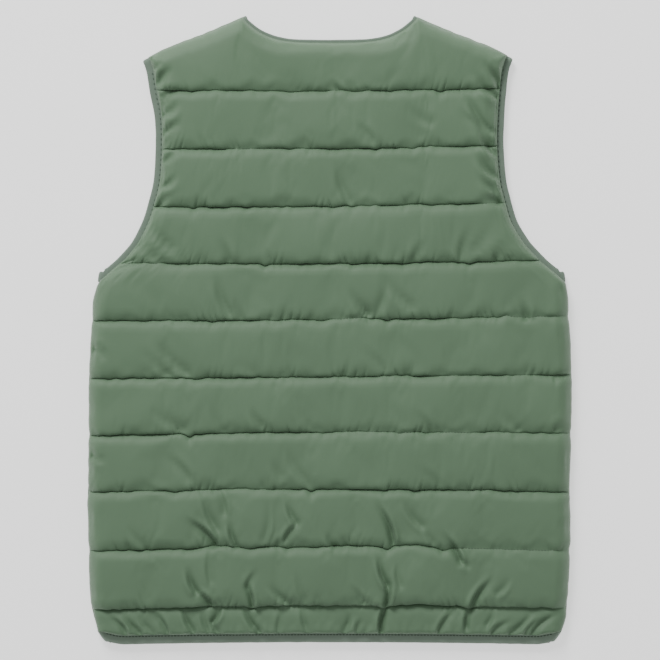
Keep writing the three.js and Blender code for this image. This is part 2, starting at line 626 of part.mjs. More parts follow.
// One strip of the front opening. The left one laps over the right one, so it lies lower here.
function placket(side) {
  const foot = yOf(hemLine(0) - HEM_TAPE - GAP);
  const head = yOf(V_BASE + PLACKET_HEAD);
  const slope = side * PLACKET_SLOPE;
  const outline = new THREE.Shape();
  outline.moveTo(-PLACKET_HALF, foot);
  outline.lineTo(PLACKET_HALF, foot);
  outline.lineTo(PLACKET_HALF, head + Math.min(0, slope));
  outline.lineTo(-PLACKET_HALF, head - Math.max(0, slope));
  const strip = new THREE.ExtrudeGeometry(outline, { depth: PLACKET_THICK, bevelEnabled: false });
  return strip.translate(0, 0, side < 0 ? PLACKET_Z : PLACKET_Z + PLACKET_THICK + GAP);
}

// A press stud's cap: a low dome on the outside of the lapping strip, which faces the surface
function studCap(rise) {
  const { radius, thick } = STUD;
  const profile = [
    [0, 0],
    [radius * 0.55, 0.1],
    [radius * 0.9, thick * 0.45],
    [radius, thick * 0.8],
    [radius, thick],
    [0, thick],
  ].map(([r, h]) => new THREE.Vector2(r, h));
  const cap = new THREE.LatheGeometry(profile, STUD.sides);
  return cap.rotateX(Math.PI / 2).translate(0, yOf(rise), PLACKET_Z - GAP - thick);
}

const cloth = new THREE.MeshStandardMaterial({ color: 0x6c8a6c, roughness: 0.62, metalness: 0 });
const binding = new THREE.MeshStandardMaterial({ color: 0x667c6b, roughness: 0.8, metalness: 0 });
const studs = new THREE.MeshStandardMaterial({ color: 0x4d5f50, roughness: 0.35, metalness: 0 });

const vest = new THREE.Group();
function put(name, geometry, material) {
  const mesh = new THREE.Mesh(geometry, material);
  mesh.name = name;
  vest.add(mesh);
}

const back = backPlan();
const left = frontPlan(-1);
const right = frontPlan(1);
put("back_panel", backPanel(back), cloth);
put("front_left", frontPanel(left, -1), cloth);
put("front_right", frontPanel(right, 1), cloth);
put("placket_left", placket(-1), cloth);
put("placket_right", placket(1), cloth);
put("armhole_tape_left", armholeTape(-1, firstCells(back), firstCells(left)), binding);
put("armhole_tape_right", armholeTape(1, lastCells(back), firstCells(right)), binding);
put("hem_tape", hemTape(back[0], left[0], right[0]), binding);
put("neck_tape", neckTape(back.at(-1), lastCells(left), lastCells(right)), binding);
for (let i = 0; i < STUD.count; i++) {
  const rise = lerp(STUD.first, STUD.last, i / (STUD.count - 1));
  put(`stud_cap_${i + 1}`, studCap(rise), studs);
}

export default vest;
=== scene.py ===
# %% [markdown]
# # A quilted vest laid flat
# The vest lies on its front with its back up. It has two fronts, a back, elastic tape round the
# armholes, neck and hem, and a front opening with press studs that the back hides from above.
# The CAD solids are the frame: each piece below takes the place of one of them and keeps its
# outline, and adds the soft shape, the folds and the sewing.

# %% Load the fixed frame
import math

import bmesh
import bpy
import numpy as np
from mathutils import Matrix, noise


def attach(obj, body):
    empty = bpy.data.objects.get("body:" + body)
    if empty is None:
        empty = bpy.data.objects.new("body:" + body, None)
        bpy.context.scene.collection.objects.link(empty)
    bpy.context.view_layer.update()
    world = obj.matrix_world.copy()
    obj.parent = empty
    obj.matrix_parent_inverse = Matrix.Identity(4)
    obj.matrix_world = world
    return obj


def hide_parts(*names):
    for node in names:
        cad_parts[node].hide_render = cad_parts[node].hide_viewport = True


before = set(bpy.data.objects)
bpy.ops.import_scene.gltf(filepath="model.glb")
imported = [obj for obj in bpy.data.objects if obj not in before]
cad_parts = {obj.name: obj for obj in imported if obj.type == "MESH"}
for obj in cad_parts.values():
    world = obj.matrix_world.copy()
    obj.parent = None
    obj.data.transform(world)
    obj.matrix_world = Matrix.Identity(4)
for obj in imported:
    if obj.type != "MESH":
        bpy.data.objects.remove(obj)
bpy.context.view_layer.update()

print("frame loaded:", sorted(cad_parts))

# %% [markdown]
# ## Sizes
# A cutter works from a table of measures, and so does this script. "Rise" is the height above the
# lowest point of the hem, along +Y, in millimetres. Half widths are measured from the middle of
# the back. The numbers are those of the CAD source, so that every piece meets its solid.

# %% Measures of the vest
LENGTH = 680
GAP = 0.3  # between neighbouring pieces
FRONT_PLANE = 9  # height where the fronts end
BACK_PLANE = FRONT_PLANE + GAP
BACK_SEAM, FRONT_SEAM = 2.4, 5  # thickness of a panel at a quilting seam
SEWN_THICK, BOUND_THICK = 2.2, 3  # thickness of a panel's edge at a sewn seam and in a tape
TAPE_THICK, TAPE_SPACE = 4, 2.4  # a folded tape, and the space between its two runs
ARM_TAPE, HEM_TAPE, NECK_TAPE = 7, 10, 3  # how wide each tape shows
NECK_HALF, NECK_BASE, NECK_POINT, NECK_POWER = 94.8, 650.7, 678, 4
V_BASE, V_POWER = 560.8, 0.7  # the lowest point and the curve of the V neck
TIP_X = {-1: 196.2, 1: 191.4}
TIP_RISE = {-1: 634.5, 1: 636.6}
SHOULDER_CROWN = 2
UNDERARM = 388.5
FRONT_SCOOP = 8  # how much deeper the armhole of a front is
HEM_ARCH = 2.2  # how far the middle of the hem lies above its sides
HEM_CORNER_FROM, HEM_CORNER_TO, HEM_CORNER_LIFT = 222, 250, 4
PLACKET_HALF = 14
LINE_RAISE = 2.0  # the groove that shows lies a little above the stitches
SIDE_TUCK = 1.3  # how far a seam's end draws the side edge in
SIDE_WAVE, SHOULDER_WAVE = 0.7, 0.8  # how uneven the padding makes the side and the shoulder
HEM_TALL, CHANNEL_TALL, TOP_TALL = 29, 62, 75  # usual height of the bands between the seams
NO_SEAM = 99  # the distance to a seam that a band doesn't have
EDGE_SPREAD, BACK_EASE = 14, 17  # over these distances an edge changes into the open panel
FRONT_MID = TAPE_THICK / 2 + 0.2
BACK_MID = FRONT_MID + TAPE_THICK + TAPE_SPACE
FOLD_MID = (FRONT_MID + BACK_MID) / 2

# rise, left half width, right half width
SIDES = np.array([
    (14, 250.6, 249.6), (25, 254.3, 254.3), (40, 257.9, 256.4), (70, 260.0, 258.3),
    (102, 261.4, 259.7), (165, 261.8, 259.4), (226, 260.8, 260.9), (288, 261.0, 261.9),
    (318, 259.0, 260.2), (351, 257.8, 258.7), (372, 255.3, 257.4), (388.5, 251.0, 254.5),
])
ARMHOLES = np.array([
    (388.5, 251.0, 254.5), (398, 241.1, 244.6), (409, 228.0, 231.3), (420.5, 216.7, 219.8),
    (432, 207.6, 209.8), (455, 196.0, 196.0), (477, 189.2, 189.2), (500, 183.8, 183.7),
    (538, 181.5, 180.7), (571, 182.6, 181.5), (599, 188.0, 183.6), (621, 191.6, 186.3),
    (637, 197.0, 191.6),
])
# rise of each quilting seam at the left edge, the middle and the right edge, from the hem up
SEAMS = np.array([
    (36.5, 41.5, 38.5), (100.0, 104.5, 100.0), (163.5, 167.0, 163.5), (224.5, 228.0, 227.0),
    (286.0, 288.0, 290.0), (348.5, 349.5, 353.0), (410.0, 410.0, 413.0), (471.0, 471.5, 475.0),
    (533.0, 533.5, 537.0), (597.0, 595.5, 599.0),
])
print(len(SEAMS), "quilting seams,", LENGTH, "mm long")

# %% [markdown]
# ## The outline
# The side and armhole tables are read along a smooth curve through their rows, as a cutter draws
# with a french curve.

# %% Outline curves
def wave(x, y, scale, seed):
    """Smooth seeded noise from -1 to 1 over x and y, with bumps of about the given size."""
    x, y = np.broadcast_arrays(x, y)
    flat = zip(np.ravel(x) / scale, np.ravel(y) / scale)
    values = [noise.noise((a, b, seed * 7.31)) for a, b in flat]
    return np.reshape(values, x.shape) * 1.6


def smooth(x, start, end):
    t = np.clip((np.asarray(x, float) - start) / (end - start), 0, 1)
    return t * t * (3 - 2 * t)


def plateau(x, up_from, up_to, down_from, down_to):
    """Smoothly from 0 up to 1, and later down to 0 again."""
    return smooth(x, up_from, up_to) * (1 - smooth(x, down_from, down_to))


def bell(x, width):
    """A smooth bump: 1 where x is 0, and almost nothing at twice the width."""
    return np.exp(-((x / width) ** 2))


def table_at(table, side, rise):
    """The half width at a rise, on a smooth curve through the table's rows."""
    rises, widths = table[:, 0], table[:, 1 if side < 0 else 2]
    slopes = np.empty(len(rises))
    slopes[1:-1] = (widths[2:] - widths[:-2]) / (rises[2:] - rises[:-2])
    slopes[0] = (widths[1] - widths[0]) / (rises[1] - rises[0])
    slopes[-1] = (widths[-1] - widths[-2]) / (rises[-1] - rises[-2])
    rise = np.asarray(rise, float)
    i = np.clip(np.searchsorted(rises, rise) - 1, 0, len(rises) - 2)
    span = rises[i + 1] - rises[i]
    t = np.clip((rise - rises[i]) / span, 0, 1)
    return ((2 * t**3 - 3 * t**2 + 1) * widths[i] + (t**3 - 2 * t**2 + t) * span * slopes[i]
            + (3 * t**2 - 2 * t**3) * widths[i + 1] + (t**3 - t**2) * span * slopes[i + 1])


def edge_x(side, rise, scoop=0):
    """Signed x of a panel's outer edge. Each seam draws the side in, and the padding isn't even."""
    rise = np.asarray(rise, float)
    share = np.clip((rise - UNDERARM) / (TIP_RISE[side] - UNDERARM), 0, 1)
    width = np.where(rise <= UNDERARM, table_at(SIDES, side, rise), table_at(ARMHOLES, side, rise))
    for left, _, right in SEAMS[SEAMS[:, 1] < UNDERARM - 20]:
        width = width - SIDE_TUCK * bell(rise - (left if side < 0 else right), 5)
    uneven = SIDE_WAVE * wave(rise, 50.0 * side, 13, 25) * (1 - smooth(rise, 370, 385))
    return side * (width + uneven - scoop * np.sin(np.pi * share))


# %% [markdown]
# ## Hem, shoulder and neck
# The other edges are curves with a formula each, and the quilting seams bend a little between the
# three heights that the table gives for each.

# %% Hem, seams, shoulder and neck
def hem_line(x):
    x = np.asarray(x, float)
    arch = HEM_ARCH * np.clip(1 - (x / 220) ** 2, 0, 1)
    lift = HEM_CORNER_LIFT * smooth(abs(x), HEM_CORNER_FROM, HEM_CORNER_TO)
    return HEM_TAPE + GAP + arch + lift


def seam_line(seam, x):
    left, middle, right = SEAMS[seam]
    x = np.asarray(x, float)
    q = x / np.where(x < 0, abs(edge_x(-1, left)), abs(edge_x(1, right)))
    return middle + (right - left) / 2 * q + ((left + right) / 2 - middle) * q * q


def shoulder_line(x):
    x = np.asarray(x, float)
    tip_x = np.where(x < 0, TIP_X[-1], TIP_X[1])
    tip_rise = np.where(x < 0, TIP_RISE[-1], TIP_RISE[1])
    t = np.clip((abs(x) - NECK_HALF) / (tip_x - NECK_HALF), 0, 1)
    uneven = SHOULDER_WAVE * wave(x, 0.0, 11, 26) * np.sin(np.pi * t)
    return NECK_POINT + (tip_rise - NECK_POINT) * t + SHOULDER_CROWN * np.sin(np.pi * t**3) + uneven


def top_line(x):
    neck = NECK_BASE + (NECK_POINT - NECK_BASE) * abs(x / NECK_HALF) ** NECK_POWER
    return np.where(abs(x) < NECK_HALF, neck, shoulder_line(x))


def v_neck_x(rise):
    share = np.clip((rise - V_BASE) / (NECK_POINT - V_BASE), 0, 1)
    edge = PLACKET_HALF + GAP
    return edge + (NECK_HALF - edge) * share**V_POWER


print("chest", round(float(edge_x(1, 288) - edge_x(-1, 288))), "mm across")

# %% [markdown]
# ## Where the quilting pulls
# A quilting seam is not a ruled line: the padding pushes it about and the needle gathers it. The
# table has the places where a seam leaves its line. The cloth also has larger creases, each a
# soft trough with a low ridge beside it, set out here with its own length, depth and width.

# %% Tables of the seams' waves and the creases
# seam, x, shift of the line up the back, width of the shift
SEAM_SHIFTS = np.array([
    (0, -132, 1.0, 16), (0, -84, -2.2, 6), (0, 58, -3.0, 5), (0, 96, 1.6, 26), (0, 150, -3.0, 6),
    (1, -120, 2.4, 20), (1, -88, -1.6, 5), (1, -60, 1.4, 12), (1, 20, 2.2, 26), (1, 62, -2.6, 5),
    (1, 88, 3.4, 20), (1, 122, -3.4, 6), (1, -46, -1.6, 4), (2, -166, -1.6, 7), (2, -100, 1.2, 16),
    (2, -20, -2.2, 4), (2, 58, -1.8, 4), (2, 92, -1.0, 5), (2, 170, 1.0, 14), (3, -151, -3.2, 4),
    (3, -60, 0.9, 30), (3, -8, -1.4, 4), (3, 28, 1.0, 20), (3, 74, -1.6, 4), (3, 104, -1.0, 4),
    (3, 176, 1.2, 12), (4, -146, -1.6, 7), (4, -56, -1.2, 4), (4, 24, -1.0, 4), (4, 74, 0.8, 12),
    (5, -126, -1.6, 5), (5, -60, -1.2, 6), (5, -10, -1.0, 6), (5, 26, 1.4, 14), (5, 62, -1.2, 4),
    (5, 190, 1.4, 8), (6, -70, -2.6, 4), (6, 24, -1.4, 5), (6, 80, -1.0, 4), (6, 106, 1.2, 7),
    (6, 150, -1.4, 5), (7, -147, -1.6, 4), (7, 3, -1.6, 4), (7, 24, -1.4, 4), (7, 92, 1.6, 7),
    (8, -62, 0.8, 14), (8, 49, -1.6, 4), (8, 88, -1.4, 4), (8, 110, 1.0, 6), (9, -150, -1.6, 4),
    (9, -42, -1.2, 8), (9, 26, -1.2, 5), (9, 64, -1.0, 4), (9, 118, -2.2, 6),
])
# seam, from x, to x, and how the groove is drawn there: 1 tight, 0 slack, in between elsewhere
STRETCHES = np.array([
    (0, -240, -140, 1), (0, 0, 60, 0), (0, 70, 150, 1), (1, -230, -140, 1), (1, 80, 260, 0),
    (2, -240, -190, 0), (2, -40, 120, 1), (3, -260, -130, 1), (3, -60, -20, 1), (3, 10, 200, 0),
    (4, -260, -190, 1), (4, -140, -80, 1), (4, 110, 230, 0), (5, -260, -180, 1), (5, 0, 60, 0),
    (5, 90, 130, 1), (5, 160, 260, 0), (6, -240, -180, 0), (6, -80, 0, 1), (6, 30, 150, 1),
    (7, -180, -20, 1), (7, 20, 60, 0), (7, 160, 200, 0), (8, -110, -50, 0), (8, 0, 60, 1),
    (8, 80, 120, 0), (9, -180, -150, 1), (9, -140, -110, 0), (9, 0, 50, 0), (9, 110, 160, 1),
])
TIGHT, USUAL, SLACK = 0.9, 0.5, 0.15
# from (x, rise) to (x, rise), depth, half width
CREASES = np.array([
    (-150, 134, -122, 108, 5.5, 6), (-136, 158, -120, 122, 3.0, 6), (-108, 130, -100, 106, 4.5, 4),
    (-122, 172, -112, 140, 2.0, 6), (-46, 154, -35, 130, 3.4, 5), (-35, 132, -50, 112, 3.4, 5),
    (-66, 150, -72, 110, 1.6, 5), (-4, 118, 6, 106, 3.0, 4), (-214, 124, -196, 104, 1.6, 5),
    (54, 148, 69, 108, 6.0, 4.5), (80, 152, 101, 126, 2.6, 6), (102, 126, 112, 110, 1.8, 5),
    (124, 118, 142, 88, 4.6, 5), (136, 98, 150, 84, 2.0, 4),
    (-153, 80, -143, 56, 5.0, 5), (-143, 58, -127, 44, 5.4, 5), (-130, 100, -128, 66, 1.6, 5),
    (-80, 80, -90, 62, 2.2, 5), (-90, 66, -83, 40, 5.4, 4), (-64, 62, -42, 45, 3.6, 5),
    (-36, 74, -26, 48, 1.6, 5), (22, 64, 38, 46, 1.6, 6),
    (-158, 38, -146, 13, 4.0, 4), (-138, 34, -130, 14, 2.6, 4), (-118, 40, -128, 24, 4.0, 4),
    (-128, 26, -120, 13, 3.4, 4), (-92, 38, -74, 12, 4.8, 4), (-190, 36, -174, 12, 3.2, 4),
    (-206, 30, -188, 12, 2.6, 4), (-222, 30, -202, 12, 3.6, 4), (-236, 30, -218, 13, 3.2, 4),
    (-52, 36, -56, 14, 1.8, 5), (-30, 38, -24, 14, 2.4, 5), (22, 32, 14, 13, 2.8, 4),
    (34, 28, 28, 13, 2.0, 4), (52, 92, 63, 62, 5.6, 4.5), (63, 66, 60, 42, 5.6, 4.5),
    (72, 88, 76, 62, 2.0, 5), (61, 44, 54, 12, 6.0, 4), (42, 22, 34, 12, 2.0, 4),
    (172, 70, 151, 40, 5.0, 5), (152, 42, 146, 16, 4.0, 4), (192, 70, 178, 54, 2.4, 6),
    (132, 36, 116, 13, 3.2, 4), (192, 26, 172, 12, 2.6, 4), (216, 32, 192, 12, 3.4, 4),
    (230, 30, 208, 12, 2.4, 4), (244, 34, 216, 12, 3.2, 4), (176, 36, 168, 20, 2.0, 4),
    (-188, 250, -151, 232, 2.4, 8), (-84, 252, -72, 236, 2.2, 5), (-176, 204, -150, 178, 2.0, 6),
    (-46, 208, -18, 170, 2.2, 6), (-62, 196, -50, 180, 1.4, 5), (96, 190, 118, 172, 1.4, 6),
    (-184, 322, -150, 292, 3.2, 6), (-200, 312, -168, 292, 2.0, 6), (-204, 300, -186, 288, 1.6, 5),
    (-122, 392, -106, 354, 3.2, 6), (-102, 372, -96, 352, 1.6, 5), (60, 390, 48, 354, 2.4, 6),
    (22, 378, 44, 356, 3.0, 6), (60, 392, 92, 362, 2.2, 6), (206, 368, 212, 350, 3.0, 5),
    (-196, 456, -168, 424, 2.8, 6), (-206, 436, -188, 416, 2.2, 5), (-118, 434, -108, 412, 2.4, 5),
    (104, 434, 88, 414, 1.8, 5), (150, 446, 140, 414, 2.4, 5), (170, 444, 150, 422, 1.8, 5),
    (196, 436, 176, 414, 2.0, 5), (8, 512, 24, 474, 2.4, 6), (30, 560, 48, 540, 1.4, 5),
    (84, 578, 112, 560, 1.2, 8), (150, 586, 178, 550, 5.5, 5), (146, 570, 176, 538, 4.4, 5),
    (160, 556, 179, 528, 4.2, 4), (158, 612, 182, 590, 4.0, 5), (168, 624, 184, 598, 4.4, 4),
    (160, 526, 179, 504, 3.8, 4), (164, 502, 180, 488, 3.0, 4), (166, 486, 184, 476, 3.0, 5),
    (-172, 620, -186, 604, 3.6, 4), (-162, 600, -181, 588, 3.4, 4), (-164, 582, -180, 570, 2.8, 4),
    (-162, 562, -179, 552, 2.8, 4), (-164, 530, -179, 520, 3.0, 4), (-166, 504, -181, 494, 2.8, 4),
    (-170, 484, -187, 474, 2.8, 4), (-128, 258, -114, 230, 1.4, 5), (92, 250, 110, 230, 1.6, 5),
    (188, 248, 204, 232, 1.6, 5), (-92, 302, -72, 290, 1.2, 5), (36, 318, 60, 294, 1.4, 6),
    (-30, 250, -16, 232, 1.2, 5), (-240, 312, -256, 320, 3.4, 3), (-242, 200, -258, 206, 3.4, 3),
    (254, 292, 240, 286, 2.0, 4), (254, 238, 240, 232, 2.0, 4),
])
print(len(SEAM_SHIFTS), "seam shifts and", len(CREASES), "creases")

# %% [markdown]
# ## Small curves
# The script asks the same questions many times: where a seam runs, how tightly it is drawn, how
# far a point is from a line. Each question is a small function.

# %% Helpers for the cloth grids
def shifted_seam(seam, x):
    line = seam_line(seam, x) + LINE_RAISE + 0.55 * wave(x, 37.0 * seam, 7, 24)
    for _, at, rise, width in SEAM_SHIFTS[SEAM_SHIFTS[:, 0] == seam]:
        line = line + rise * bell(x - at, width)
    return line


def pull_at(x, seam):
    """How tightly the groove of a seam is drawn, where seam is a number for each point."""
    pull = np.full(np.shape(x), USUAL)
    for number, start, stop, tight in STRETCHES:
        inside = plateau(x, start - 10, start + 10, stop - 10, stop + 10)
        goal = TIGHT if tight else SLACK
        pull = pull + (goal - USUAL) * inside * (seam == number)
    return np.clip(pull + 0.3 * wave(x, seam * 70.0, 28, 8) + 0.12 * wave(x, seam * 50.0, 8, 17),
                   0.03, 1)


def distance_to(line, points):
    """Distance in plan from each point to a line of (x, rise) corners."""
    best = np.full(len(points), np.inf)
    for a, b in zip(line[:-1], line[1:]):
        d = b - a
        t = np.clip(((points - a) @ d) / max(d @ d, 1e-9), 0, 1)
        best = np.minimum(best, np.linalg.norm(points - a - t[:, None] * d, axis=1))
    return best


def rounded(d, radius):
    return np.sqrt(1 - (1 - np.clip(d / radius, 0, 1)) ** 2)


def line_of(xs, rises):
    return np.column_stack([np.broadcast_to(xs, np.shape(rises)), rises])


def split_line(line, rise, overlap):
    """The parts of a line below and above a rise, which overlap a little."""
    return line[line[:, 1] < rise + overlap], line[line[:, 1] > rise - overlap]


def nearest(lines, x, rise):
    """Distance in plan from each point of a grid to the nearest of some lines."""
    points = np.column_stack([x.ravel(), rise.ravel()])
    return np.min([distance_to(line, points) for line in lines], axis=0).reshape(x.shape)


def wall(bound_d, ease, sewn_level, bound_level, plane, seam_thick):
    """The height of a panel's inside, and its thickness where it is sewn.

    Both start at the panel's edge, sewn or bound in a tape, and ease into the open panel.
    """
    taped = 1 - smooth(bound_d, 1, EDGE_SPREAD)
    edge = sewn_level * (1 - taped) + bound_level * taped
    thin = SEWN_THICK + (BOUND_THICK - SEWN_THICK) * taped
    return edge + (plane - edge) * ease, thin + (seam_thick - thin) * ease


# %% [markdown]
# ## The plan of the back
# The back is a grid of points whose rows follow the quilting seams and whose columns run from
# side to side. It is coarse at first, for the swelling, and is made finer later.

# %% Plan of the back
CHANNEL_ROWS, HEM_ROWS, TOP_ROWS = 14, 6, 18
SHOULDER_COLUMNS, NECK_COLUMNS = 40, 48


def columns_between(left, right, finer):
    a, b = SHOULDER_COLUMNS * finer, NECK_COLUMNS * finer
    return np.concatenate([np.linspace(left, -NECK_HALF, a + 1)[:-1],
                           np.linspace(-NECK_HALF, NECK_HALF, b + 1),
                           np.linspace(NECK_HALF, right, a + 1)[1:]])


def band_edges(band, x):
    """The rise of a band's lower and upper edge."""
    low = hem_line(x) if band == 0 else shifted_seam(band - 1, x)
    high = top_line(x) if band == len(SEAMS) else shifted_seam(band, x)
    return low, high


def side_edges(band, side):
    column = 0 if side < 0 else 2
    low = float(hem_line(SIDES[0, 1])) if band == 0 else SEAMS[band - 1, column]
    high = TIP_RISE[side] if band == len(SEAMS) else SEAMS[band, column]
    return low, high


def band_rows(steps):
    """The band of each row and its share of the way up; a seam's row is in the band above it."""
    for band, shares in enumerate(steps):
        for v in shares if band == len(SEAMS) else shares[:-1]:
            yield band, v


def plan_row(x, low, high, band, v):
    """x, rise, share of the way up its band, and band, of the points of one row."""
    return [x, low + (high - low) * v, np.full(len(x), v), np.full(len(x), band)]


def back_plan(steps, finer):
    """The rows of the back, each with those shares of the way up its band."""
    rows = []
    top_x = columns_between(-TIP_X[-1], TIP_X[1], finer)
    for band, v in band_rows(steps):
        ends = []
        for side in (-1, 1):
            low, high = side_edges(band, side)
            ends.append(edge_x(side, low + (high - low) * v))
        x = columns_between(*ends, finer)
        low, high = band_edges(band, x)
        if band == len(SEAMS):
            high = top_line(top_x)
        rows.append(plan_row(x, low, high, band, v))
    return np.moveaxis(np.array(rows), 1, 0)


coarse_steps = [np.linspace(0, 1, count + 1)
                for count in [HEM_ROWS, *[CHANNEL_ROWS] * (len(SEAMS) - 1), TOP_ROWS]]
back_x, back_rise, back_share, back_band = back_plan(coarse_steps, 1)
print("back grid:", back_x.shape)

# %% [markdown]
# ## The padding
# Wadding lies between two cloths that are sewn together at the seams, so each channel swells.
# Two neighbours press against each other above their seam and hide it: what shows is a tight
# groove. Above a groove the cloth rolls over sharply, and below it the cloth rises in an easy
# slope, because the wadding slips down a little when the vest is worn.

# %% Height of the back's outside
BACK_LOFT = 14.0
HEM_LOFT = 0.55  # the narrow channel at the hem is lower, as a share of the loft
ROLL, RISE_SLOPE = 8.0, 13.0  # lengths of the roll above a seam and the slope below one
ROLL_LIP, SLOPE_LIP = 0.38, 0.5  # height of the padding at a tight groove, share of the loft
SLACK_LIP = 0.8  # the same where the groove is slack
SEWN_ROUND, BOUND_ROUND, HEM_ROUND = 15, 10, 5  # how far in the cloth rolls down to its edges


def channel_profile(x, above, below, band):
    """Share of the loft at distances above the lower seam and below the upper one."""
    low, high = pull_at(x, band - 1), pull_at(x, band)
    roll_lip = SLACK_LIP + (ROLL_LIP - SLACK_LIP) * low
    slope_lip = SLACK_LIP + (SLOPE_LIP - SLACK_LIP) * high
    sharp = np.clip(1.6 * low, 0, 1)
    length = ROLL * (1.05 + 0.7 * wave(x, band * 60.0, 20, 27)).clip(0.6)
    roll_shape = rounded(above, length) * sharp + smooth(above, -1.5, length) * (1 - sharp)
    roll = roll_lip + (1 - roll_lip) * roll_shape
    slope = 1 - (1 - slope_lip) * (1 - np.clip(below / RISE_SLOPE, 0, 1)) ** 3
    return np.minimum(roll, slope)


def back_heights(x, rise, share, band):
    """The inside, the outside, and the distances to the sewn and to the bound edges."""
    left_low, left_high = split_line(line_of(x[:, 0], rise[:, 0]), UNDERARM, 3)
    right_low, right_high = split_line(line_of(x[:, -1], rise[:, -1]), UNDERARM, 3)
    top = line_of(x[-1], rise[-1])
    shoulders = [top[top[:, 0] < 0.01 - NECK_HALF], top[top[:, 0] > NECK_HALF - 0.01]]
    neck = top[abs(top[:, 0]) < NECK_HALF + 0.01]
    sewn_d = nearest([left_low, right_low, *shoulders], x, rise)
    bound_d = nearest([left_high, right_high, neck], x, rise)
    hem_d = nearest([line_of(x[0], rise[0])], x, rise)
    puff = np.minimum(rounded(sewn_d, SEWN_ROUND), rounded(bound_d, BOUND_ROUND))
    puff = np.minimum(puff, rounded(hem_d, HEM_ROUND))
    bound_d = np.minimum(bound_d, hem_d)
    ease = smooth(np.minimum(sewn_d, bound_d), 0, BACK_EASE)
    inside, seam = wall(bound_d, ease, FOLD_MID + GAP / 2, BACK_MID - BOUND_THICK / 2, BACK_PLANE,
                        BACK_SEAM)
    tall = np.where(band == 0, HEM_TALL, CHANNEL_TALL)
    above = np.where(band == 0, NO_SEAM, share * tall)
    below = np.where(band == len(SEAMS), NO_SEAM, (1 - share) * tall)
    profile = channel_profile(x, above, below, band) * np.where(band == 0, HEM_LOFT, 1)
    loft = BACK_LOFT * (1 + 0.12 * wave(x, rise, 60, 2))
    level = np.where(band == 0, (BACK_PLANE - inside) * puff, 0)  # keeps the hem channel level
    return inside, inside + seam + level + loft * profile * puff, sewn_d, bound_d


_, back_outside, _, bound_distance = back_heights(back_x, back_rise, back_share, back_band)
print("back stands", round(float(back_outside.max()), 1), "mm high before it swells")

# %% [markdown]
# ## Swelling the cloth
# Blender's Cloth makes the outside taut over its padding. The pinned points stay where they are,
# and pressure lifts the others. The cloth is given a little more length than the lines that it is
# sewn to, because elastic gathers it, and the spare length goes into small folds.

# %% Cloth simulation of the back's outside
SWELL_FRAMES = 18
SWELL_PRESSURE = 0.25
SPARE_LEAST, SPARE_MOST = 0.002, 0.05  # spare length as a share of the cloth
SWELL_LIMIT = 6.0  # the farthest a point may move, in millimetres
CLOTH_SETTINGS = {
    "quality": 6, "mass": 0.12, "tension_stiffness": 20, "compression_stiffness": 20,
    "shear_stiffness": 6, "bending_stiffness": 0.08, "air_damping": 3, "use_pressure": True,
    "uniform_pressure_force": SWELL_PRESSURE, "vertex_group_mass": "pin",
    "vertex_group_shrink": "room", "shrink_min": -SPARE_LEAST, "shrink_max": -SPARE_MOST,
}


def grid_quads(index):
    """The quads between the rows and columns of a grid of point numbers."""
    quads = np.stack([index[:-1, :-1], index[:-1, 1:], index[1:, 1:], index[1:, :-1]], axis=-1)
    return quads.reshape(-1, 4).tolist()


def grid_mesh(name, x, rise, z):
    """A sheet of quads from rows of points, in metres, with its place in its mesh."""
    rows, columns = x.shape
    points = np.stack([x, rise - LENGTH / 2, z], axis=-1).reshape(-1, 3) / 1000
    index = np.arange(rows * columns).reshape(rows, columns)
    mesh = bpy.data.meshes.new(name)
    mesh.from_pydata(points.tolist(), [], grid_quads(index))
    piece = bpy.data.objects.new(name, mesh)
    bpy.context.collection.objects.link(piece)
    return piece


def swell(x, rise, z, pinned, spare):
    """Runs the sheet as cloth and returns its points, in millimetres."""
    sheet = grid_mesh("swelling", x, rise, z)
    pin = sheet.vertex_groups.new(name="pin")
    pin.add(np.flatnonzero(pinned).tolist(), 1.0, "REPLACE")
    room = sheet.vertex_groups.new(name="room")
    for i, weight in enumerate(spare.ravel()):
        room.add([i], float(weight), "REPLACE")
    cloth = sheet.modifiers.new("Cloth", "CLOTH")
    for key, value in CLOTH_SETTINGS.items():
        setattr(cloth.settings, key, value)
    cloth.settings.effector_weights.gravity = 0
    cloth.point_cache.frame_end = SWELL_FRAMES
    for step in range(1, SWELL_FRAMES + 1):
        bpy.context.scene.frame_set(step)
    done = sheet.evaluated_get(bpy.context.evaluated_depsgraph_get())
    points = np.empty(len(sheet.data.vertices) * 3)
    done.data.vertices.foreach_get("co", points)
    points = points.reshape(*x.shape, 3) * 1000
    points[..., 1] += LENGTH / 2
    bpy.data.objects.remove(sheet, do_unlink=True)
    bpy.context.scene.frame_set(1)
    return points


def limited(points, start, limit):
    """The points, none farther than the limit from where it started."""
    move = points - start
    size = np.linalg.norm(move, axis=-1, keepdims=True)
    return start + move * np.minimum(1, limit / np.maximum(size, 1e-9))


# %% [markdown]
# ## What is held and what is loose
# The needle holds the cloth along every seam and edge. The cloth has the most spare length beside
# the tapes and near the hem, and a little in some patches elsewhere.

# %% Swell the back
seam_rows = np.flatnonzero(back_share[:, 0] == 0)
back_pins = np.zeros(back_x.shape, bool)
back_pins[seam_rows] = True
back_pins[-1] = back_pins[:, 0] = back_pins[:, -1] = True
by_tape = bell(bound_distance, 26)
low_down = 0.45 * smooth(150 - back_rise, 0, 90)
patches = 0.06 * np.clip(wave(back_x, back_rise, 80, 3), 0, 1)
back_spare = np.clip(by_tape * 0.8 + low_down + patches, 0, 1)
start_points = np.stack([back_x, back_rise, back_outside], axis=-1)
swelled = swell(back_x, back_rise, back_outside, back_pins, back_spare)
back_points = limited(swelled, start_points, SWELL_LIMIT)
print("back stands", round(float(back_points[..., 2].max()), 1), "mm high")

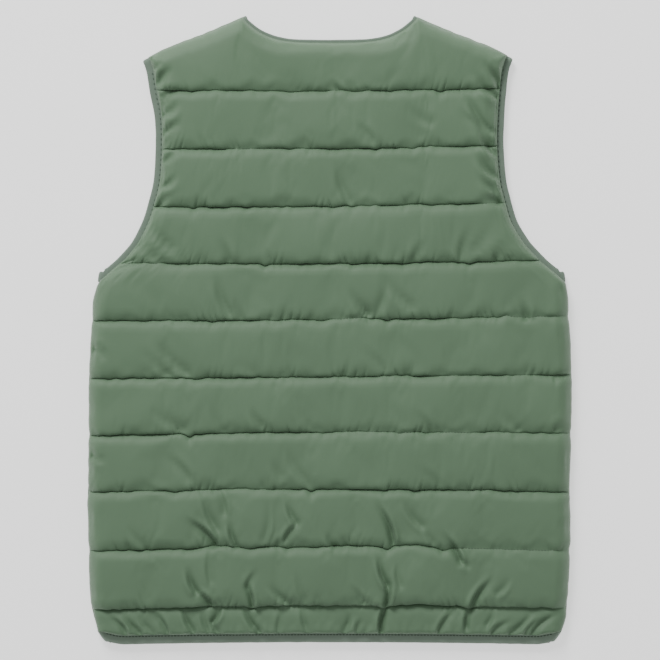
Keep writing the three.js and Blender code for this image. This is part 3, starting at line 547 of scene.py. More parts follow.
# %% [markdown]
# ## Finer cloth and its folds
# A second grid has the same outline and seams with many more points, closest together beside the
# seams. It takes the swelling over from the first one, on a smooth curve. Its creases, puckers
# and grooves are then pressed in.

# %% The finer grid
FINER = 3  # fine columns for each coarse one
GROOVE_STEPS = (0, 0.5, 1.1, 2.0, 3.4, 5.6, 9)  # millimetres from a seam
MIDDLE_STEP = (2.2, 3, 3, 4.6, 4.6, 5.2, 5.2, 5.2, 3.4, 3.4, 4.6)  # for each band
BAND_TALL = [HEM_TALL, *[CHANNEL_TALL] * (len(SEAMS) - 1), TOP_TALL]


def fine_steps(tall, step, at_low, at_high):
    """Shares of the way up a band, close together beside its seams."""
    low = GROOVE_STEPS if at_low else (0,)
    high = [tall - d for d in reversed(GROOVE_STEPS)] if at_high else [tall]
    count = round((high[0] - low[-1]) / step)
    middle = np.linspace(low[-1], high[0], count + 1)[1:-1]
    return np.array([*low, *middle, *high]) / tall


def curve_through(rows, at):
    """Values on a smooth curve through the rows, at fractional row numbers."""
    ends = np.concatenate([2 * rows[:1] - rows[1:2], rows, 2 * rows[-1:] - rows[-2:-1]])
    i = np.clip(np.floor(at).astype(int), 0, len(rows) - 2)
    t = (at - i).reshape(-1, *[1] * (rows.ndim - 1))
    a, b, c, d = (ends[i + k] for k in range(4))
    return b + 0.5 * t * (c - a + t * (2 * a - 5 * b + 4 * c - d + t * (3 * (b - c) + d - a)))


def to_fine(field):
    """A field of the coarse grid on the finer one; it isn't smoothed across the seams."""
    starts = [*seam_rows.tolist(), len(field) - 1]
    parts = []
    for band, (a, b) in enumerate(zip(starts[:-1], starts[1:])):
        part = curve_through(field[a:b + 1], all_steps[band] * (b - a))
        parts.append(part if band == len(SEAMS) else part[:-1])
    across = np.swapaxes(np.concatenate(parts), 0, 1)
    at = np.arange((len(across) - 1) * FINER + 1) / FINER
    return np.swapaxes(curve_through(across, at), 0, 1)


all_steps = [fine_steps(tall, step, True, band < len(SEAMS))
             for band, (tall, step) in enumerate(zip(BAND_TALL, MIDDLE_STEP))]
fine_x, fine_rise, fine_share, fine_band = back_plan(all_steps, FINER)
fine_inside, fine_outside, fine_sewn, fine_bound = back_heights(
    fine_x, fine_rise, fine_share, fine_band)
smooth_points = np.stack([fine_x, fine_rise, fine_outside], axis=-1)
smooth_points = smooth_points + to_fine(back_points - start_points)
print("finer grid:", fine_x.shape)


# %% [markdown]
# ## Creases and puckers
# The needle gathers the cloth a little at every stitch, so short puckers run into the padding on
# both sides of a seam, strong in some stretches and almost gone in others. A crease is longer, and
# steeper on one side.

# %% Functions that fold the cloth
PUCKER_DEPTH, GATHER_DEPTH = 1.7, 2.2  # beside the seams, and beside the tapes
CREASE_SCALE, CREASE_WIDTH = 1.3, 0.75  # set against the table's depths and widths
CREASE_BEND = 0.07  # how far a crease bows, as a share of its length
RIDGE = 0.36  # height of the ridge beside a crease, as a share of its depth
OVERHANG = 1.4  # how far a roll leans over its seam
HEM_ROLL = 0.9  # how far the lowest roll leans over the tape


def press_creases(points, table):
    """Each crease is a trough, steep on one side, with a low ridge, deepest at its lower end."""
    for number, (x0, rise0, x1, rise1, depth, width) in enumerate(table):
        a, b = np.array([x0, rise0]), np.array([x1, rise1])
        length = np.linalg.norm(b - a)
        width = CREASE_WIDTH * width
        d = (b - a) / length
        rel = points[..., :2] - a
        along = (rel @ d) / length
        off = (rel[..., 1] * d[0] - rel[..., 0] * d[1]) * (1 if number % 3 else -1)
        off = (off + CREASE_BEND * length * np.sin(np.pi * np.clip(along, 0, 1))) / width
        taper = plateau(along, -0.3, 0.7, 0.85, 1.1)
        steep = max(0.35, (1.9 if rise1 < 165 else 3.0) / width)
        trough = bell(off, np.where(off < 0, steep, 1.25))
        ridge = RIDGE * bell(off + 2.5 * steep, 1.3 * steep)
        points[..., 2] -= CREASE_SCALE * depth * (trough - ridge) * taper
    return points


def pucker(points, above, below, near, band):
    """Short gathers square to the seams, uneven in strength, and others along the tapes.

    Each is a narrow line where a smooth noise crosses zero.
    """
    x, rise = points[..., 0], points[..., 1]
    seam = np.where(above < below, band - 1, band)
    d = np.minimum(above, below)
    strength = np.clip(0.5 + 1.2 * wave(x, seam * 90.0, 30, 11), 0, 1.3)
    lean = np.where(wave(x, seam * 20.0, 25, 21) > 0, 0.55, -0.45)
    line = bell(wave(x + lean * d, seam * 40.0, 10, 12), 0.17)
    reach = np.where(above < below, 9, 5) * (1 + 0.6 * wave(x, seam * 30.0, 13, 16))
    fade = bell(d, np.maximum(reach, 2))
    points[..., 2] -= PUCKER_DEPTH * strength * line * fade * np.where(above < below, 1, 0.4)
    points[..., 2] += 0.25 * wave(x, rise, 42, 15) * (1 - bell(d, 12))
    gathers = bell(wave(rise - 0.7 * near, np.sign(x) * 30.0, 10, 13), 0.24)
    held = np.clip(0.6 + 0.9 * wave(rise, np.sign(x) * 60.0, 22, 20), 0, 1.2)
    points[..., 2] -= GATHER_DEPTH * gathers * held * bell(near - 5, 6)
    return points


# %% [markdown]
# ## Grooves and rolls
# The groove of a tight seam is deep and narrow, and the padding above it leans over it. At the hem
# the padding hangs over the tape.

# %% Functions for grooves and rolls
def groove_and_lean(points, above, below, band, floor):
    """Draws the cloth down to the seam in a slit, and leans the roll above it over the slit."""
    x = points[..., 0]
    d = np.minimum(above, below)
    strength = pull_at(x, np.where(above < below, band - 1, band))
    slit = 1 - (1 - rounded(d, 0.9 + 0.5 * strength)) * 0.85 * strength**2
    points[..., 2] = floor + (points[..., 2] - floor) * slit
    lean = plateau(above, 0, 0.8, 1, 9) * strength
    points[..., 1] -= OVERHANG * lean
    return points


def roll_over_hem(points, above_hem):
    """The lowest padding hangs over the tape of the hem in a soft roll."""
    x = points[..., 0]
    reach = HEM_ROLL * (1 + 0.4 * wave(x, 5.0, 5, 18))
    lean = plateau(above_hem, 0, 1.6, 2, 9)
    points[..., 1] -= reach * lean
    points[..., 2] += 0.4 * plateau(above_hem, 0, 1.2, 2, 9)
    points[..., 2] += 0.7 * wave(x, above_hem * 0.4, 5, 19) * bell(above_hem - 5, 4)
    return points


# %% [markdown]
# ## Folding the back
# The folds are pressed in one after the other: creases, puckers, grooves, and the roll over the
# hem. They fade out where the cloth is held flat, at the side seams and inside the tapes.

# %% Fold the back
HELD_FLAT = 3.5  # how far from a seam or the hem the folds begin
TAPE_HOLDS = (0.6, 2.4)  # the same beside an armhole or neck tape, from none to all
tall = np.array(BAND_TALL)[fine_band.astype(int)]
above_seam = np.where(fine_band == 0, NO_SEAM, fine_share * tall)
below_seam = np.where(fine_band == len(SEAMS), NO_SEAM, (1 - fine_share) * tall)
near_edge = np.where(fine_band == 0, np.minimum(fine_sewn, fine_bound), fine_sewn)
folded = press_creases(smooth_points.copy(), CREASES)
folded = pucker(folded, above_seam, below_seam, fine_bound, fine_band)
slit_floor = np.minimum(fine_inside + BACK_SEAM, smooth_points[..., 2])
folded = groove_and_lean(folded, above_seam, below_seam, fine_band, slit_floor)
by_armhole = np.where(fine_band == 0, 1, smooth(fine_bound, *TAPE_HOLDS))
fade = smooth(near_edge, 0, HELD_FLAT) * by_armhole
back_outer = smooth_points + (folded - smooth_points) * fade[..., None]
middle_part = smooth(fine_sewn, 0, 10) * smooth(fine_bound + NO_SEAM * (fine_band == 0), 0, 6)
rolled = roll_over_hem(back_outer.copy(), np.where(fine_band == 0, fine_share * HEM_TALL, NO_SEAM))
back_outer = back_outer + (rolled - back_outer) * middle_part[..., None]
back_outer[..., 2] = np.maximum(back_outer[..., 2], fine_inside + 1)
print("back stands", round(float(back_outer[..., 2].max()), 1), "mm high")

# %% [markdown]
# ## Closing a panel
# Under the outside lies the plain inside of the panel, and a narrow edge joins the two all round.
# The inside needs far fewer points. Each outside point keeps its place on the flat cloth, in
# metres, as a UV map, so that the weave isn't stretched where the cloth turns down steeply.

# %% Make a finished piece
def finished_piece(name, points, faces, uv=None):
    """A smooth closed object from points in millimetres, with its place on the flat cloth."""
    points = points.copy()
    points[:, 1] -= LENGTH / 2
    mesh = bpy.data.meshes.new(name)
    mesh.from_pydata((points / 1000).tolist(), [], faces)
    if uv is not None:
        loops = np.empty(len(mesh.loops), int)
        mesh.loops.foreach_get("vertex_index", loops)
        mesh.uv_layers.new(name="cut").data.foreach_set("uv", uv[loops].ravel())
    work = bmesh.new()
    work.from_mesh(mesh)
    bmesh.ops.recalc_face_normals(work, faces=work.faces)
    work.to_mesh(mesh)
    work.free()
    mesh.shade_smooth()
    piece = bpy.data.objects.new(name, mesh)
    bpy.context.collection.objects.link(piece)
    return piece


def stand_for(piece, node):
    """The piece takes the place of a solid and on its body."""
    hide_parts(node)
    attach(piece, "root")


def cut_map(points):
    """Distances along the cloth from the middle column and the lowest row, in metres."""
    across = np.linalg.norm(np.diff(points, axis=1), axis=-1)
    up = np.linalg.norm(np.diff(points, axis=0), axis=-1)
    u = np.concatenate([np.zeros((len(points), 1)), np.cumsum(across, axis=1)], axis=1)
    v = np.concatenate([np.zeros((1, points.shape[1])), np.cumsum(up, axis=0)])
    return np.stack([u - u[:, points.shape[1] // 2, None], v], axis=-1) / 1000


# %% [markdown]
# ## The two faces and their edge
# Along the edge one inside point meets several outside points, so triangles fan out from it.

# %% Join the faces of a panel
def closed_panel(name, outside, inside_z, rows, columns):
    """The wall between a fine outside and a coarse inside at the given rows and columns."""
    count_r, count_c = outside.shape[:2]
    rows = sorted({0, count_r - 1, *rows})
    columns = sorted({0, count_c - 1, *columns})
    inside = outside[np.ix_(rows, columns)].copy()
    inside[..., 2] = inside_z[np.ix_(rows, columns)]
    fine = np.arange(count_r * count_c).reshape(count_r, count_c)
    coarse = fine.size + np.arange(inside[..., 0].size).reshape(len(rows), len(columns))
    faces = grid_quads(fine) + grid_quads(coarse)
    sides = [(fine[0], coarse[0], columns), (fine[-1], coarse[-1], columns),
             (fine[:, 0], coarse[:, 0], rows), (fine[:, -1], coarse[:, -1], rows)]
    for outer, inner, stops in sides:
        for k, (i, j) in enumerate(zip(stops[:-1], stops[1:])):
            half = (i + j) // 2
            faces += [(int(inner[k]), int(outer[s]), int(outer[s + 1])) for s in range(i, half)]
            faces += [(int(inner[k]), int(outer[half]), int(inner[k + 1]))]
            faces += [(int(inner[k + 1]), int(outer[s]), int(outer[s + 1])) for s in range(half, j)]
    points = np.concatenate([outside.reshape(-1, 3), inside.reshape(-1, 3)])
    plain = (points[fine.size:, :2] - (0, LENGTH / 2)) / 1000
    uv = np.concatenate([cut_map(outside).reshape(-1, 2), plain])
    return finished_piece(name, points, faces, uv)


def every(step, count):
    return range(0, count, step)


back_piece = closed_panel("back_quilted", back_outer, fine_inside,
                          every(8, back_outer.shape[0]), every(8, back_outer.shape[1]))
stand_for(back_piece, "back_panel")
print(back_piece.name, len(back_piece.data.polygons), "faces")

# %% [markdown]
# ## The fronts
# The two fronts lie under the back with their quilting pressed flat by the surface. Each is
# quilted by the same ten seams. Their armholes are cut deeper, and their necklines run down to
# the front opening in a V.

# %% Plan of the fronts
FRONT_LOFT = 12
FRONT_COLUMNS = 56
FRONT_EASE, OPENING_EASE = 28, 12  # over these distances an edge changes into the open panel


def front_plan(side):
    """The rows of a front, from its outer edge to the opening and the neckline."""
    rows = []
    top_x = np.linspace(side * TIP_X[side], side * NECK_HALF, FRONT_COLUMNS + 1)
    for band, v in band_rows(coarse_steps):
        first, last = band == 0, band == len(SEAMS)
        low, high = side_edges(band, side)
        outer = edge_x(side, low + (high - low) * v, FRONT_SCOOP)
        low_middle = float(hem_line(0)) if first else SEAMS[band - 1, 1]
        high_middle = NECK_POINT if last else SEAMS[band, 1]
        inner = side * v_neck_x(low_middle + (high_middle - low_middle) * v)
        x = outer + (inner - outer) * np.linspace(0, 1, FRONT_COLUMNS + 1)
        low_line = hem_line(x) if first else seam_line(band - 1, x)
        high_line = shoulder_line(top_x) if last else seam_line(band, x)
        rows.append(plan_row(x, low_line, high_line, band, v))
    return np.moveaxis(np.array(rows), 1, 0)


# %% [markdown]
# ## How a front lies
# Its padding would reach below the surface that the vest rests on, so it is pressed flat there,
# with soft edges beside the seams.

# %% Heights of the fronts
def front_heights(x, rise, share, band, side):
    """The inside, which faces up to the back, and the outside, which lies on the surface."""
    side_seam, armhole = split_line(line_of(x[:, 0], rise[:, 0]), UNDERARM, 3)
    front_edge, v_line = split_line(line_of(x[:, -1], rise[:, -1]), V_BASE, 1)
    sewn_d = nearest([side_seam, line_of(x[-1], rise[-1])], x, rise)
    bound_d = nearest([line_of(x[0], rise[0]), armhole, v_line], x, rise)
    opening = nearest([front_edge], x, rise)
    ease = smooth(np.minimum(sewn_d, bound_d), 0, FRONT_EASE)
    ease = np.minimum(ease, smooth(opening, 0, OPENING_EASE))
    inside, seam = wall(bound_d, ease, FOLD_MID - GAP / 2, FRONT_MID + BOUND_THICK / 2, FRONT_PLANE,
                        FRONT_SEAM)
    puff = np.minimum(rounded(sewn_d, 15), rounded(bound_d, 17))
    puff = np.minimum(puff, rounded(opening, OPENING_EASE))
    crown = np.sin(np.pi * share) ** 0.5
    hem = 0.8 * np.sin(np.pi / 2 * (1 + share)).clip(0) ** 0.5
    top = np.sin(np.pi / 2 * np.clip(share / 0.5, 0, 1)) ** 0.5
    profile = np.where(band == 0, hem, np.where(band == len(SEAMS), top, crown))
    uneven = 1 + 0.25 * wave(x, rise, 38, 21 + side) + 0.12 * wave(x, rise, 9, 23 + side)
    lowest = inside - seam - FRONT_LOFT * profile * puff * uneven
    pressed_flat = np.maximum(lowest, 0) + 0.35 * np.exp(-abs(lowest) / 0.8) * (puff > 0.2)
    return inside, np.clip(pressed_flat, 0, inside - 1.2)


def front_piece(side, node):
    x, rise, share, band = front_plan(side)
    inside, underside = front_heights(x, rise, share, band, side)
    outside = np.stack([x, rise, underside], axis=-1)
    piece = closed_panel(node + "_quilted", outside, inside, every(4, x.shape[0]),
                         every(4, x.shape[1]))
    stand_for(piece, node)
    print(piece.name, len(piece.data.polygons), "faces")
    return piece


front_pieces = [front_piece(-1, "front_left"), front_piece(1, "front_right")]

# %% [markdown]
# ## The tapes
# A strip of elastic is folded over each raw edge and sewn through both sides. It runs along the
# back's edge, turns over the shoulder or the side in a half turn, and comes back along the
# front's edge. Here each tape is a folded strip swept along its edge, rib by rib.

# %% Ribs along an edge
TURN_REACH = (BACK_MID - FRONT_MID + TAPE_THICK) / 2
TAPE_STEP = 1.3  # millimetres between ribs
TUCK = 2.2  # how far the folded tape reaches over the cloth


def reach_along(line):
    """The distance along a line at each of its points."""
    return np.concatenate([[0], np.cumsum(np.linalg.norm(np.diff(line, axis=0), axis=1))])


def along_line(line, start, end, step=TAPE_STEP):
    """Evenly spaced points on a line between two distances from its ends, and their reach."""
    reach = reach_along(line)
    stop = reach[-1] - end
    at = np.linspace(start, stop, max(2, int((stop - start) / step) + 1))
    return np.column_stack([np.interp(at, reach, line[:, i]) for i in (0, 1)]), at - start


def ribs_beside(line, outward, width, z, start=0, end=0):
    """Ribs square to an edge: the inboard point, the way across and the width of each."""
    points, reach = along_line(line, start, end)
    tangent = np.gradient(points, axis=0)
    tangent /= np.linalg.norm(tangent, axis=1, keepdims=True)
    normal = np.column_stack([-tangent[:, 1], tangent[:, 0]]) * outward
    base = np.column_stack([points + normal * GAP, np.full(len(points), z)])
    return {"at": base, "across": np.column_stack([normal, 0 * reach]),
            "width": np.full(len(points), float(width)), "reach": reach}


def swing(ribs, way, width, at_start, distance=14):
    """Turns the ribs at one end of a run until the end rib lies along a fold."""
    reach = ribs["reach"] if at_start else ribs["reach"][-1] - ribs["reach"]
    share = 1 - smooth(reach, 0, distance)
    way = np.array([*way, 0.0]) / np.linalg.norm(way)
    across = ribs["across"] * (1 - share[:, None]) + way * share[:, None]
    ribs["across"] = across / np.linalg.norm(across, axis=1, keepdims=True)
    ribs["width"] = ribs["width"] + (width - ribs["width"]) * share
    return ribs


# %% [markdown]
# ## Over the fold
# At a shoulder, an underarm or a corner of the hem a tape leaves one layer and comes back on the
# other, round a half circle. The ribs of the runs and the turns then make one list.

# %% Turn the ribs over a fold
def half_turn(ribs, index, away, from_z, to_z, steps=13):
    """The ribs that carry a tape over a fold, from one layer to the other."""
    radius = (from_z - to_z) / 2
    out = np.array([*away, 0.0]) / np.linalg.norm(away)
    angles = np.radians(np.linspace(-90, 90, steps))
    at = ribs["at"][index] + out * (abs(radius) * np.cos(angles))[:, None]
    at[:, 2] = (from_z + to_z) / 2 - radius * np.sin(angles)
    along = -out * np.sin(angles)[:, None]
    along[:, 2] = -np.sign(radius) * np.cos(angles)
    return {"at": at, "across": np.tile(ribs["across"][index], (steps, 1)),
            "width": np.full(steps, ribs["width"][index]), "along": along}


def join(*runs, closed):
    """One list of ribs, each with the way the tape runs there."""
    at, across = (np.concatenate([run[key] for run in runs]) for key in ("at", "across"))
    width = np.concatenate([run["width"] for run in runs])
    middle = at + across * (width / 2)[:, None]
    if closed:
        along = np.roll(middle, -1, axis=0) - np.roll(middle, 1, axis=0)
    else:
        along = np.gradient(middle, axis=0)
    given = np.concatenate([run.get("along", np.full((len(run["at"]), 3), np.nan)) for run in runs])
    along = np.where(np.isnan(given), along, given)
    along /= np.linalg.norm(along, axis=1, keepdims=True)
    return {"at": at, "across": across, "width": width, "along": along}


def part_of(ribs, start, stop):
    return {key: value[start:stop] for key, value in ribs.items()}


def backwards(ribs):
    return {key: value[::-1] for key, value in ribs.items() if key != "reach"}


print("tape ribs every", TAPE_STEP, "mm")

# %% [markdown]
# ## The folded strip
# Each tape's section is a U: two legs that hold the edge of the cloth, and a soft fold outside
# it. Elastic draws itself in when it is sewn, so it has small ripples along its length.

# %% Sweep a folded strip
LEG = 0.8  # thickness of the elastic


def wrapped(index):
    """A grid of point numbers with its first column again at the end, for a tube."""
    return np.concatenate([index, index[:, :1]], axis=1)


def folded_tape(node, ribs, shown, closed, seed):
    """The tape of that node, on its ribs; shown is how wide it shows on each side."""
    count = len(ribs["at"])
    half = TAPE_THICK / 2
    up = np.cross(ribs["along"], ribs["across"])
    up /= np.linalg.norm(up, axis=1, keepdims=True)
    width = ribs["width"]
    # round the section: share of the width, distance added to it, and height
    outer = [(0, -TUCK, 0.25), (0, -0.4, 0.05), (0.3, 0, 0), (0.62, 0, 0.08), (0.85, 0, 0.45),
             (0.96, 0, 1.1), (1, 0, 1.9)]
    section = [(share, more, half - drop) for share, more, drop in outer]
    section += [(share, more, drop - half) for share, more, drop in reversed(outer)]
    section += [(0, -TUCK, 0.25 + LEG - half), (0.5, 0, LEG + 0.05 - half), (0.8, 0, 0),
                (0.5, 0, half - LEG - 0.05), (0, -TUCK, half - LEG - 0.25)]
    at = np.arange(count) * TAPE_STEP
    ripple = 0.10 * wave(at, 0.0, 4.2, seed) + 0.16 * wave(at, 0.0, 11, seed + 1)
    sway = 0.22 * wave(at, 0.0, 17, seed + 2)
    points = []
    for share, more, height in section:
        reach = width * share + more - (0.25 + abs(sway)) * share
        level = height + np.sign(height) * np.minimum(0, ripple - 0.12) * (0.3 + share)
        points.append(ribs["at"] + ribs["across"] * reach[:, None] + up * level[:, None])
    points = np.stack(points, axis=1)
    index = np.arange(count * len(section)).reshape(count, len(section))
    faces = grid_quads(wrapped(np.concatenate([index, index[:1]]) if closed else index))
    if not closed:
        faces += [index[0].tolist(), index[-1].tolist()]
    run, girth = reach_along(points[:, len(outer) - 1]), reach_along(points[count // 2])
    uv = np.stack(np.broadcast_arrays(run[:, None], girth[None]), axis=-1).reshape(-1, 2) / 1000
    piece = finished_piece(node + "_folded", points.reshape(-1, 3), faces, uv)
    width, length = 2 * (shown + TUCK) / 1000, float(run[-1]) / 1000
    stand_for(piece, node)
    print(piece.name, round(1000 * length), "mm long,", len(faces), "faces")
    return piece


# %% [markdown]
# ## Round the armholes
# Each armhole has one closed loop of tape: along the back, over the shoulder, down the front's
# deeper edge and round the underarm, where it widens to cover the end of the side seam.

# %% Armhole tapes
UNDERARM_WIDTH = 1.35 * ARM_TAPE


def armhole_run(side, scoop, z):
    """The ribs along the armhole of one panel, turned at both ends to lie along the folds."""
    rises = np.linspace(UNDERARM, TIP_RISE[side], 500)
    edge = line_of(edge_x(side, rises, scoop), rises)
    ribs = ribs_beside(edge, -side, ARM_TAPE, z, TURN_REACH * 1.4, TURN_REACH)
    ribs = swing(ribs, (side * -0.1, 1), UNDERARM_WIDTH, True)
    return swing(ribs, (side * 0.91, -0.42), ARM_TAPE, False)


def armhole_tape(side, node):
    back, front = armhole_run(side, 0, BACK_MID), armhole_run(side, FRONT_SCOOP, FRONT_MID)
    over = half_turn(back, -1, (side * 0.42, 0.91), BACK_MID, FRONT_MID)
    under = half_turn(back, 0, (side, 0.1), FRONT_MID, BACK_MID)
    ribs = join(part_of(back, 1, -1), over, backwards(part_of(front, 1, -1)), under, closed=True)
    return folded_tape(node, ribs, ARM_TAPE, True, 31 + side), back


armholes = [armhole_tape(-1, "armhole_tape_left"), armhole_tape(1, "armhole_tape_right")]

# %% [markdown]
# ## Along the hem
# One length of wider tape runs from the front opening round the back to the opening again. Its
# ribs lean in at both corners, because the hem is cut round there.

# %% Hem tape
HEM_INSET = 5  # how far from the corner the half turn starts
HEM_LEAN, HEM_LEAN_RISE = 7.5, -1.1  # how far the corner's rib leans in and down


def hem_edge(x0, x1):
    xs = np.linspace(x0, x1, 600)
    return line_of(xs, hem_line(xs))


def lean_in(ribs, side, at_start):
    """The end ribs lean in with the rounded corners of the hem."""
    base = np.array([0, -HEM_TAPE])
    way = base + (-side * HEM_LEAN, HEM_LEAN_RISE)
    return swing(ribs, way, float(np.linalg.norm(way)), at_start, 12)


def hem_front(side):
    """The ribs along the hem of a front, from its side to the opening."""
    edge = hem_edge(hem_ends[side], side * (PLACKET_HALF + GAP))
    return lean_in(ribs_beside(edge, side, HEM_TAPE, FRONT_MID, HEM_INSET), side, True)


hem_ends = {side: float(edge_x(side, side_edges(0, side)[0])) for side in (-1, 1)}
hem_back = ribs_beside(hem_edge(hem_ends[-1], hem_ends[1]), -1, HEM_TAPE, BACK_MID, HEM_INSET,
                       HEM_INSET)
hem_back = lean_in(lean_in(hem_back, -1, True), 1, False)
left_turn = half_turn(hem_back, 0, (-1, 0.08), FRONT_MID, BACK_MID)
right_turn = half_turn(hem_back, -1, (1, 0.08), BACK_MID, FRONT_MID)
hem_ribs = join(backwards(part_of(hem_front(-1), 1, None)), left_turn, part_of(hem_back, 1, -1),
                right_turn, part_of(hem_front(1), 1, None), closed=False)
hem_piece = folded_tape("hem_tape", hem_ribs, HEM_TAPE, False, 41)

# %% [markdown]
# ## Round the neck
# The narrowest tape runs up one side of the V, along the back of the neck, and down again.

# %% Neck tape
neck_x = np.linspace(-NECK_HALF, NECK_HALF, 500)
neck_back = ribs_beside(line_of(neck_x, top_line(neck_x * 0.9999)), 1, NECK_TAPE, BACK_MID,
                        TURN_REACH, TURN_REACH)
neck_back = swing(swing(neck_back, (0.92, 0.39), NECK_TAPE, True, 8), (-0.92, 0.39), NECK_TAPE,
                  False, 8)


def v_edge(side):
    rises = np.linspace(V_BASE, NECK_POINT, 500)
    return line_of(side * v_neck_x(rises), rises)


def neck_front(side):
    ribs = ribs_beside(v_edge(side), side, NECK_TAPE, FRONT_MID, 3, TURN_REACH)
    return swing(ribs, (-side * 0.92, 0.39), NECK_TAPE, False, 8)


neck_left_turn = half_turn(neck_back, 0, (-0.39, 0.92), FRONT_MID, BACK_MID)
neck_right_turn = half_turn(neck_back, -1, (0.39, 0.92), BACK_MID, FRONT_MID)
neck_ribs = join(part_of(neck_front(-1), 0, -1), neck_left_turn, part_of(neck_back, 1, -1),
                 neck_right_turn, backwards(part_of(neck_front(1), 0, -1)), closed=False)
neck_piece = folded_tape("neck_tape", neck_ribs, NECK_TAPE, False, 51)

# %% [markdown]
# ## The front opening
# A flat doubled strip is sewn to each front edge, and one laps over the other. Five press studs
# hold them together: a cap outside, and a ring punched through from the inside.

# %% Plackets
PLACKET_THICK, PLACKET_Z, PLACKET_HEAD, PLACKET_SLOPE = 2, 2, 6, 9
PLACKET_ROWS, PLACKET_COLUMNS = 283, 29


def placket(side, node):
    low_z = PLACKET_Z if side < 0 else PLACKET_Z + PLACKET_THICK + GAP
    foot = float(hem_line(0)) - HEM_TAPE - GAP
    x = np.tile(np.linspace(-PLACKET_HALF, PLACKET_HALF, PLACKET_COLUMNS), (PLACKET_ROWS, 1))
    wide = 2 * PLACKET_HALF
    head = V_BASE + PLACKET_HEAD + min(0, side * PLACKET_SLOPE) * (x + PLACKET_HALF) / wide \
        - max(0, side * PLACKET_SLOPE) * (PLACKET_HALF - x) / wide
    rise = foot + (head - foot) * np.linspace(0, 1, PLACKET_ROWS)[:, None]
    edge = PLACKET_HALF - abs(x)
    groove = 0.18 * bell(edge - 3, 0.7) + 0.35 * bell(edge, 0.6)
    lower = low_z + groove + 0.12 * np.clip(wave(x, rise, 16, 61 + side), 0, 1)
    upper = low_z + PLACKET_THICK - groove
    piece = closed_panel(node + "_sewn", np.stack([x, rise, lower], axis=-1), upper,
                         every(6, PLACKET_ROWS), every(4, PLACKET_COLUMNS))
    stand_for(piece, node)
    return piece


placket_pieces = [placket(-1, "placket_left"), placket(1, "placket_right")]

# %% [markdown]
# ## The press studs
# Each cap is a turned disc with a rounded rim. Four insets, one inside the other, make a shallow
# ring round its middle.

# %% Press studs
STUD_RADIUS, STUD_THICK, STUD_COUNT = 6.5, 1.4, 5
STUD_FIRST, STUD_LAST = 42, 536
STUD_RIM = 0.0005
STUD_INSETS = [(0.0014, 0), (0.0003, -0.00025), (0.0012, 0), (0.0003, 0.0002)]  # width and depth


def select_outer_face(cap):
    """Selects only the flat face of a cap that looks down."""
    bpy.ops.mesh.select_all(action="DESELECT")
    work = bmesh.from_edit_mesh(cap.data)
    for face in work.faces:
        face.select_set(face.normal.z < -0.999)
    bmesh.update_edit_mesh(cap.data)


def stud_cap(number):
    """A turned cap, counted from the hem up."""
    rise = STUD_FIRST + (STUD_LAST - STUD_FIRST) * (number - 1) / (STUD_COUNT - 1)
    middle_z = (PLACKET_Z - GAP - STUD_THICK / 2) / 1000
    bpy.ops.object.select_all(action="DESELECT")
    bpy.ops.mesh.primitive_cylinder_add(vertices=48, radius=STUD_RADIUS / 1000,
                                        depth=STUD_THICK / 1000,
                                        location=(0, (rise - LENGTH / 2) / 1000, middle_z))
    cap = bpy.context.object
    cap.name = f"stud_cap_{number}_turned"
    bpy.ops.object.transform_apply(location=True, rotation=False, scale=False)
    bpy.ops.object.mode_set(mode="EDIT")
    select_outer_face(cap)
    bpy.ops.mesh.bevel(offset=STUD_RIM, segments=3)
    select_outer_face(cap)
    for width, depth in STUD_INSETS:
        bpy.ops.mesh.inset(thickness=width, depth=depth)
    bpy.ops.object.mode_set(mode="OBJECT")
    bpy.ops.object.shade_smooth_by_angle(angle=math.radians(35))
    stand_for(cap, f"stud_cap_{number}")
    return cap


stud_pieces = [stud_cap(number) for number in range(1, STUD_COUNT + 1)]
print(len(placket_pieces), "placket strips and", len(stud_pieces), "studs")

# %% [markdown]
# ## Sewing thread
# Every seam is a row of lockstitches. One stitch is a short bead of thread that dips into the
# cloth at both ends. The rows are built from the same small bead, laid along each seam.

# %% Stitches
STITCH_LENGTH, STITCH_GAP, THREAD = 2.6, 0.7, 0.45
ARMHOLE_GAP, HEM_GAP, TAPE_THREAD = 2.9, 0.9, 0.52
BEAD_SIDES = 6


def stitch_row(line, lift, gap=STITCH_GAP):
    """The start and the end of each stitch on a line of (x, rise, z) points."""
    reach = reach_along(line)
    pitch = STITCH_LENGTH + gap
    starts = np.arange(pitch, reach[-1] - 2 * pitch, pitch)
    ends = np.stack([starts, starts + STITCH_LENGTH], axis=1)
    return np.stack([np.interp(ends, reach, line[:, i]) for i in range(3)], axis=-1) + (0, 0, lift)


def bead_mesh(name, stitches, thick):
    """One small closed bead of six sides for every stitch, in a single mesh."""
    turn = np.linspace(0, 2 * np.pi, BEAD_SIDES, endpoint=False)
    # share of the stitch, share of the thickness, and height, of each ring
    shape = [(0.0, 0.30, -0.25), (0.18, 0.85, 0.0), (0.82, 0.85, 0.0), (1.0, 0.30, -0.25)]
    points, faces = [], []
    for a, b in stitches:
        d = (b - a) / np.linalg.norm(b - a)
        side = np.cross(d, (0, 0, 1))
        side /= np.linalg.norm(side)
        up = np.cross(side, d)
        index = len(points) + np.arange(len(shape) * BEAD_SIDES).reshape(-1, BEAD_SIDES)
        for share, radius, dip in shape:
            middle = a + (b - a) * share + up * dip
            for t in turn:
                points.append(middle + thick * radius * (side * np.cos(t) + up * np.sin(t)))
        faces += [*grid_quads(wrapped(index)), index[0, ::-1].tolist(), index[-1].tolist()]
    piece = finished_piece(name, np.array(points), faces)
    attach(piece, "root")
    print(name, len(stitches), "stitches")
    return piece
